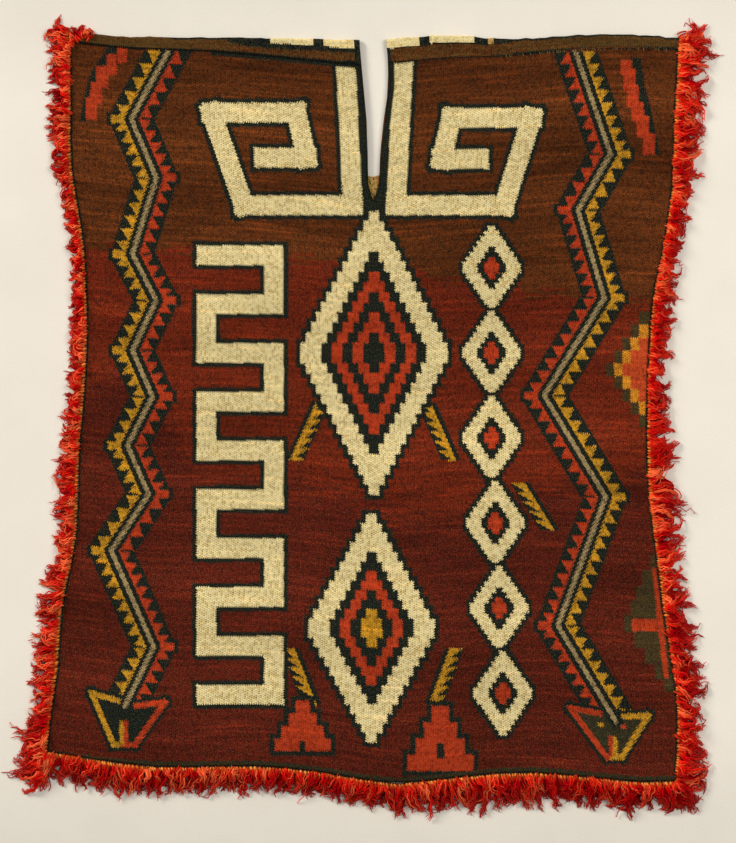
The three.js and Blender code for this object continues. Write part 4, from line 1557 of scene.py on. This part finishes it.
def headingParts(run, seed):
    sizes = headingSizes
    chance = np.random.default_rng(seed)
    total = run["s"][-1]
    count = max(2, int(total / (sizes["loop"] * mm)))
    s = (np.arange(count) + 0.5 + chance.normal(0, sizes["uneven"], count)) * total / count
    gap, strip = fringeSizes["gap"], fringeSizes["strip"]
    low, high, spot, off, along = (readRun(run, key, s) for key in ("low", "high", "spot", "off", "along"))
    thick = sizes["thick"] * mm * chance.uniform(*sizes["thickBy"], count)
    path = []
    for across, level, _ in sizes["path"]:
        slant = (across - 0.4) * sizes["slant"] * mm
        xy = spot + off * (gap + strip * across + sizes["out"]) + along * slant
        path.append(np.column_stack([xy, low + (high - low) * level + sizes["above"]]))
    loops = np.stack(path, axis=1)
    radii = thick[:, None] * np.array([swell for _, _, swell in sizes["path"]])
    loops[..., 2] = np.maximum(loops[..., 2], radii + strandChance["clear"] * mm)
    tone = np.full(loops.shape, sizes["along"])
    tone[..., 0] = np.clip(chance.normal(*sizes["hue"], count), 0, 1)[:, None]
    tone[..., 2] = np.clip(chance.normal(*sizes["shade"], count), *sizes["shades"])[:, None]
    # The strip under the loops, as one flat tube.
    middle = run["spot"] + run["off"] * (gap + strip / 2)
    stripPath = np.column_stack([middle, (run["low"] + run["high"]) / 2])[None]
    stripTone = np.tile(sizes["stripTone"], (1, stripPath.shape[1], 1))
    return (loops, radii, tone), (stripPath, np.full(stripPath.shape[:2], sizes["strip"]), stripTone)


def addHeading(name, runs, seed):
    parts = []
    for k, run in enumerate(runs):
        parts += headingParts(run, seed + k)
    return addStrands(name, parts, headingMaterial, 4)


def addFringe(name, node, grown, runs, seed):
    piece = addStrands(name, grown, fringeMaterial)
    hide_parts(node)
    heading = addHeading(name.replace("fringe", "heading"), runs, seed)
    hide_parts(node)


# The locks that fan round a corner, in millimetres: where their roots start and end beside it, which
# way they point there, their lengths, the length of edge that they are as many as, and their hue and
# shade, the shade being painted light and shade as along the edges.
fanSizes = {"stations": 12, "bare": 1.8, "below": 1.5 * mm, "shoulder": (2.0 * mm, 4.2 * mm)}
fans = {
    "topLeft": {
        "start": (0, -13), "end": (13, -3), "from": (-0.98, 0.1), "to": (0.6, 0.7), "long": (14, 7.5),
        "as": 28, "tone": (0.0, 0.98),
    },
    "topRight": {
        "start": (0, -4), "end": (0, -1.5), "from": (1.0, 0.0), "to": (0.88, 0.42), "long": (26, 17),
        "as": 15, "tone": (-0.06, 1.06),
    },
    "lowLeft": {
        "start": (0, 0), "end": (2, 0), "from": (-1.0, -0.1), "to": (-0.1, -1.0), "long": (27, 27),
        "as": 26, "tone": (0.08, 0.94),
    },
    "lowRight": {
        "start": (0, 0), "end": (-2, 0), "from": (1.0, -0.1), "to": (0.1, -1.0), "long": (25, 27),
        "as": 26, "tone": (-0.1, 0.94),
    },
}  # fmt: skip


def fanRun(which, corner, low, high):
    fan, count = fans[which], fanSizes["stations"]
    t = np.linspace(0, 1, count)[:, None]
    start, end = np.array(fan["start"]) * mm, np.array(fan["end"]) * mm
    off = np.array(fan["from"]) * (1 - t) + np.array(fan["to"]) * t
    off /= np.linalg.norm(off, axis=1)[:, None]
    flat = np.zeros(count)
    hue, shade = fan["tone"]
    return {
        "s": t[:, 0] * fan["as"] * mm,
        "spot": np.array(corner[:2]) + start * (1 - t) + end * t,
        "off": off,
        "along": np.stack([off[:, 1], -off[:, 0]], axis=1),
        "low": flat + low,
        "high": flat + high,
        "long": np.linspace(*fan["long"], count) * mm,
        "lean": flat,
        "hue": flat + hue,
        "shade": flat + shade,
        "bare": flat + fanSizes["bare"],
    }


# The back's locks, by their crest and their reach beside the front's: round the armholes and at the hem.
backLocks = {"armhole": (0.5, 0.7), "hem": (0.5, 0.8)}
frontRuns = []
for seed, half in ((100, "left"), (200, "right")):
    title = half.capitalize()
    top = (shoulderTop - corners[half][1]) / mm
    frontLeg, backLeg = (sideRun(half, top, fringeSizes["armhole"], level) for level in ("upper", "lower"))
    side = sideRun(half, *fringeSizes["side"], "whole")
    shoulder = fanRun(f"top{title}", corners[half] - [0, fanSizes["below"]], *fanSizes["shoulder"])
    grown = growFringe(frontLeg, seed) + growFringe(backLeg, seed + 1, (3,), *backLocks["armhole"])
    grown += growFringe(shoulder, seed + 3)
    addFringe(f"fringeArmhole{title}", f"fringe_armhole_{half}", grown, (frontLeg, backLeg), seed + 2)
    corner = frontEdges["hem"][0 if half == "left" else -1]
    grown = growFringe(side, seed + 4) + growFringe(fanRun(f"low{title}", corner, *levels["whole"]), seed + 6)
    addFringe(f"fringeSide{title}", f"fringe_side_{half}", grown, (side,), seed + 5)
    frontRuns += [frontLeg, side]
hemUpper, hemLower = (edgeRun("hem", frontEdges["hem"], 1, level) for level in ("upper", "lower"))
addFringe("fringeHemFront", "fringe_hem_front", growFringe(hemUpper, 300), (hemUpper,), 301)
grown = growFringe(hemLower, 302, (3,), *backLocks["hem"])
addFringe("fringeHemBack", "fringe_hem_back", grown, (hemLower,), 303)
frontRuns.append(hemUpper)
print("fringe grown")

# Dark thread, in millimetres: over the join of cloth and heading, round the slit's edges and along the
# bands' feet. Right of "palerFrom" some of the bands' stitches are pale.
sewing = {
    "pitch": 1.7, "slitPitch": 1.9, "bandPitch": 1.5, "thick": 0.27, "thickBy": (0.8, 1.2), "inside": 1.3,
    "outside": 0.8, "slant": 0.5, "uneven": 0.1, "near": 2 * mm, "hue": (0.35, 0.3), "along": 0.35,
    "palerFrom": 105 * mm, "pale": 0.45, "overCloth": 0.2 * mm, "overBand": 0.5 * mm,
}  # fmt: skip


def stitchRow(line, outward, pitch, shape, chance):
    # Stitches over a line. shape is each stitch's points: how far off the line, and the height there.
    where = distances(line)
    count = int(where[-1] / (pitch * mm))
    s = (np.arange(count) + 0.5 + chance.normal(0, sewing["uneven"], count)) * where[-1] / count
    spot = pointsAt(line, where, s)
    ahead = pointsAt(line, where, s + sewing["near"]) - pointsAt(line, where, s - sewing["near"])
    ahead /= np.linalg.norm(ahead, axis=1)[:, None]
    off = np.stack([ahead[:, 1], -ahead[:, 0]], axis=1) * outward
    path = []
    for k, (out, height) in enumerate(shape):
        slant = sewing["slant"] * mm * (k / (len(shape) - 1) - 0.5)
        slant = slant + chance.normal(0, sewing["uneven"], count) * mm
        xy = spot + off * out * mm + ahead * slant[:, None]
        path.append(np.column_stack([xy, height(*xy.T) if callable(height) else np.full(count, height)]))
    paths = np.stack(path, axis=1)
    thick = sewing["thick"] * mm * chance.uniform(*sewing["thickBy"], count)
    tone = np.ones(paths.shape)
    tone[..., 0] = np.clip(chance.normal(*sewing["hue"], count), 0, 0.9)[:, None]
    tone[..., 1] = sewing["along"]
    return paths, np.repeat(thick[:, None], len(shape), axis=1), tone


def overCloth(x, y):
    return frontTop(x, y) + sewing["overCloth"]


def onBand(x, y):
    return 2 * creases["cloth"] + sewing["overBand"] + shoulderBand["waves"] * roll(x, y)


chance = np.random.default_rng(77)
rows = []
for run in frontRuns:
    outward = 1 if run["off"][0] @ [run["along"][0][1], -run["along"][0][0]] > 0 else -1
    joined = [(-sewing["inside"], overCloth), (-0.2, overCloth), (sewing["outside"], overCloth)]
    rows.append(stitchRow(run["spot"], outward, sewing["pitch"], joined, chance))
for half, outward in (("slitLeft", -1), ("slitRight", 1)):
    line = frontEdges[half][:, :2]
    level = float(frontTop(*line[len(line) // 2]))
    over = [(-1.2, overCloth), (-0.1, overCloth), (0.3, level - 0.7 * mm), (-0.4, level - 1.7 * mm)]
    rows.append(stitchRow(line, outward, sewing["slitPitch"], over, chance))
for lines in (leftLines, rightLines):
    foot = [(-0.9, onBand), (0.1, onBand), (1.1, overCloth)]
    stitches = stitchRow(lines["foot"], 1, sewing["bandPitch"], foot, chance)
    right = stitches[0][:, 0, 0] > sewing["palerFrom"]
    pale = right & (chance.random(len(right)) < sewing["pale"])
    stitches[2][pale, :, 0] = chance.uniform(0.9, 1, pale.sum())[:, None]
    rows.append(stitches)
addStrands("sewingThread", rows, threadMaterial)
print("seams sewn")

# The table: how far it reaches in metres, its colour, how it darkens towards the top and the foot of
# the view as painted shade, and its grain.
board = {
    "reach": 3, "shade": "#f6eedd", "darker": (0.24, 0.36, 1.0, 0.89), "rough": 0.9, "bump": 0.25,
    "bumpDeep": 0.4 * mm, "grain": (900.0, 4.0, 0.8), "cloud": (14.0, 3.0),
    "tones": [(0.94, 1.06), (0.97, 1.02)],
}  # fmt: skip


def makeTable():
    far = board["reach"]
    mesh = bpy.data.meshes.new("tableTop")
    mesh.from_pydata([(-far, -far, 0), (far, -far, 0), (far, far, 0), (-far, far, 0)], [], [(0, 1, 2, 3)])
    material, tree, shader = newMaterial("paleBoard")
    place = addNode(tree, "ShaderNodeTexCoord").outputs["Object"]
    upward = addNode(tree, "ShaderNodeSeparateXYZ", {0: place}).outputs["Y"]
    grain, cloud = addNoise(tree, place, *board["grain"]), addNoise(tree, place, *board["cloud"])
    # Painted shade: darker towards the top and the foot of the view.
    darker = ranged(tree, compute(tree, "ABSOLUTE", upward), *board["darker"])
    colour = multiplied(tree, hexColour(board["shade"]), darker)
    for noise, tones in zip((grain, cloud), board["tones"]):
        colour = multiplied(tree, colour, ranged(tree, noise, 0.3, 0.7, *tones))
    tree.links.new(colour, shader.inputs["Base Color"])
    addBump(tree, shader, grain, board["bump"], board["bumpDeep"])
    shader.inputs["Roughness"].default_value = board["rough"]
    mesh.materials.append(material)
    return addObject("tableTop", mesh)


table = makeTable()
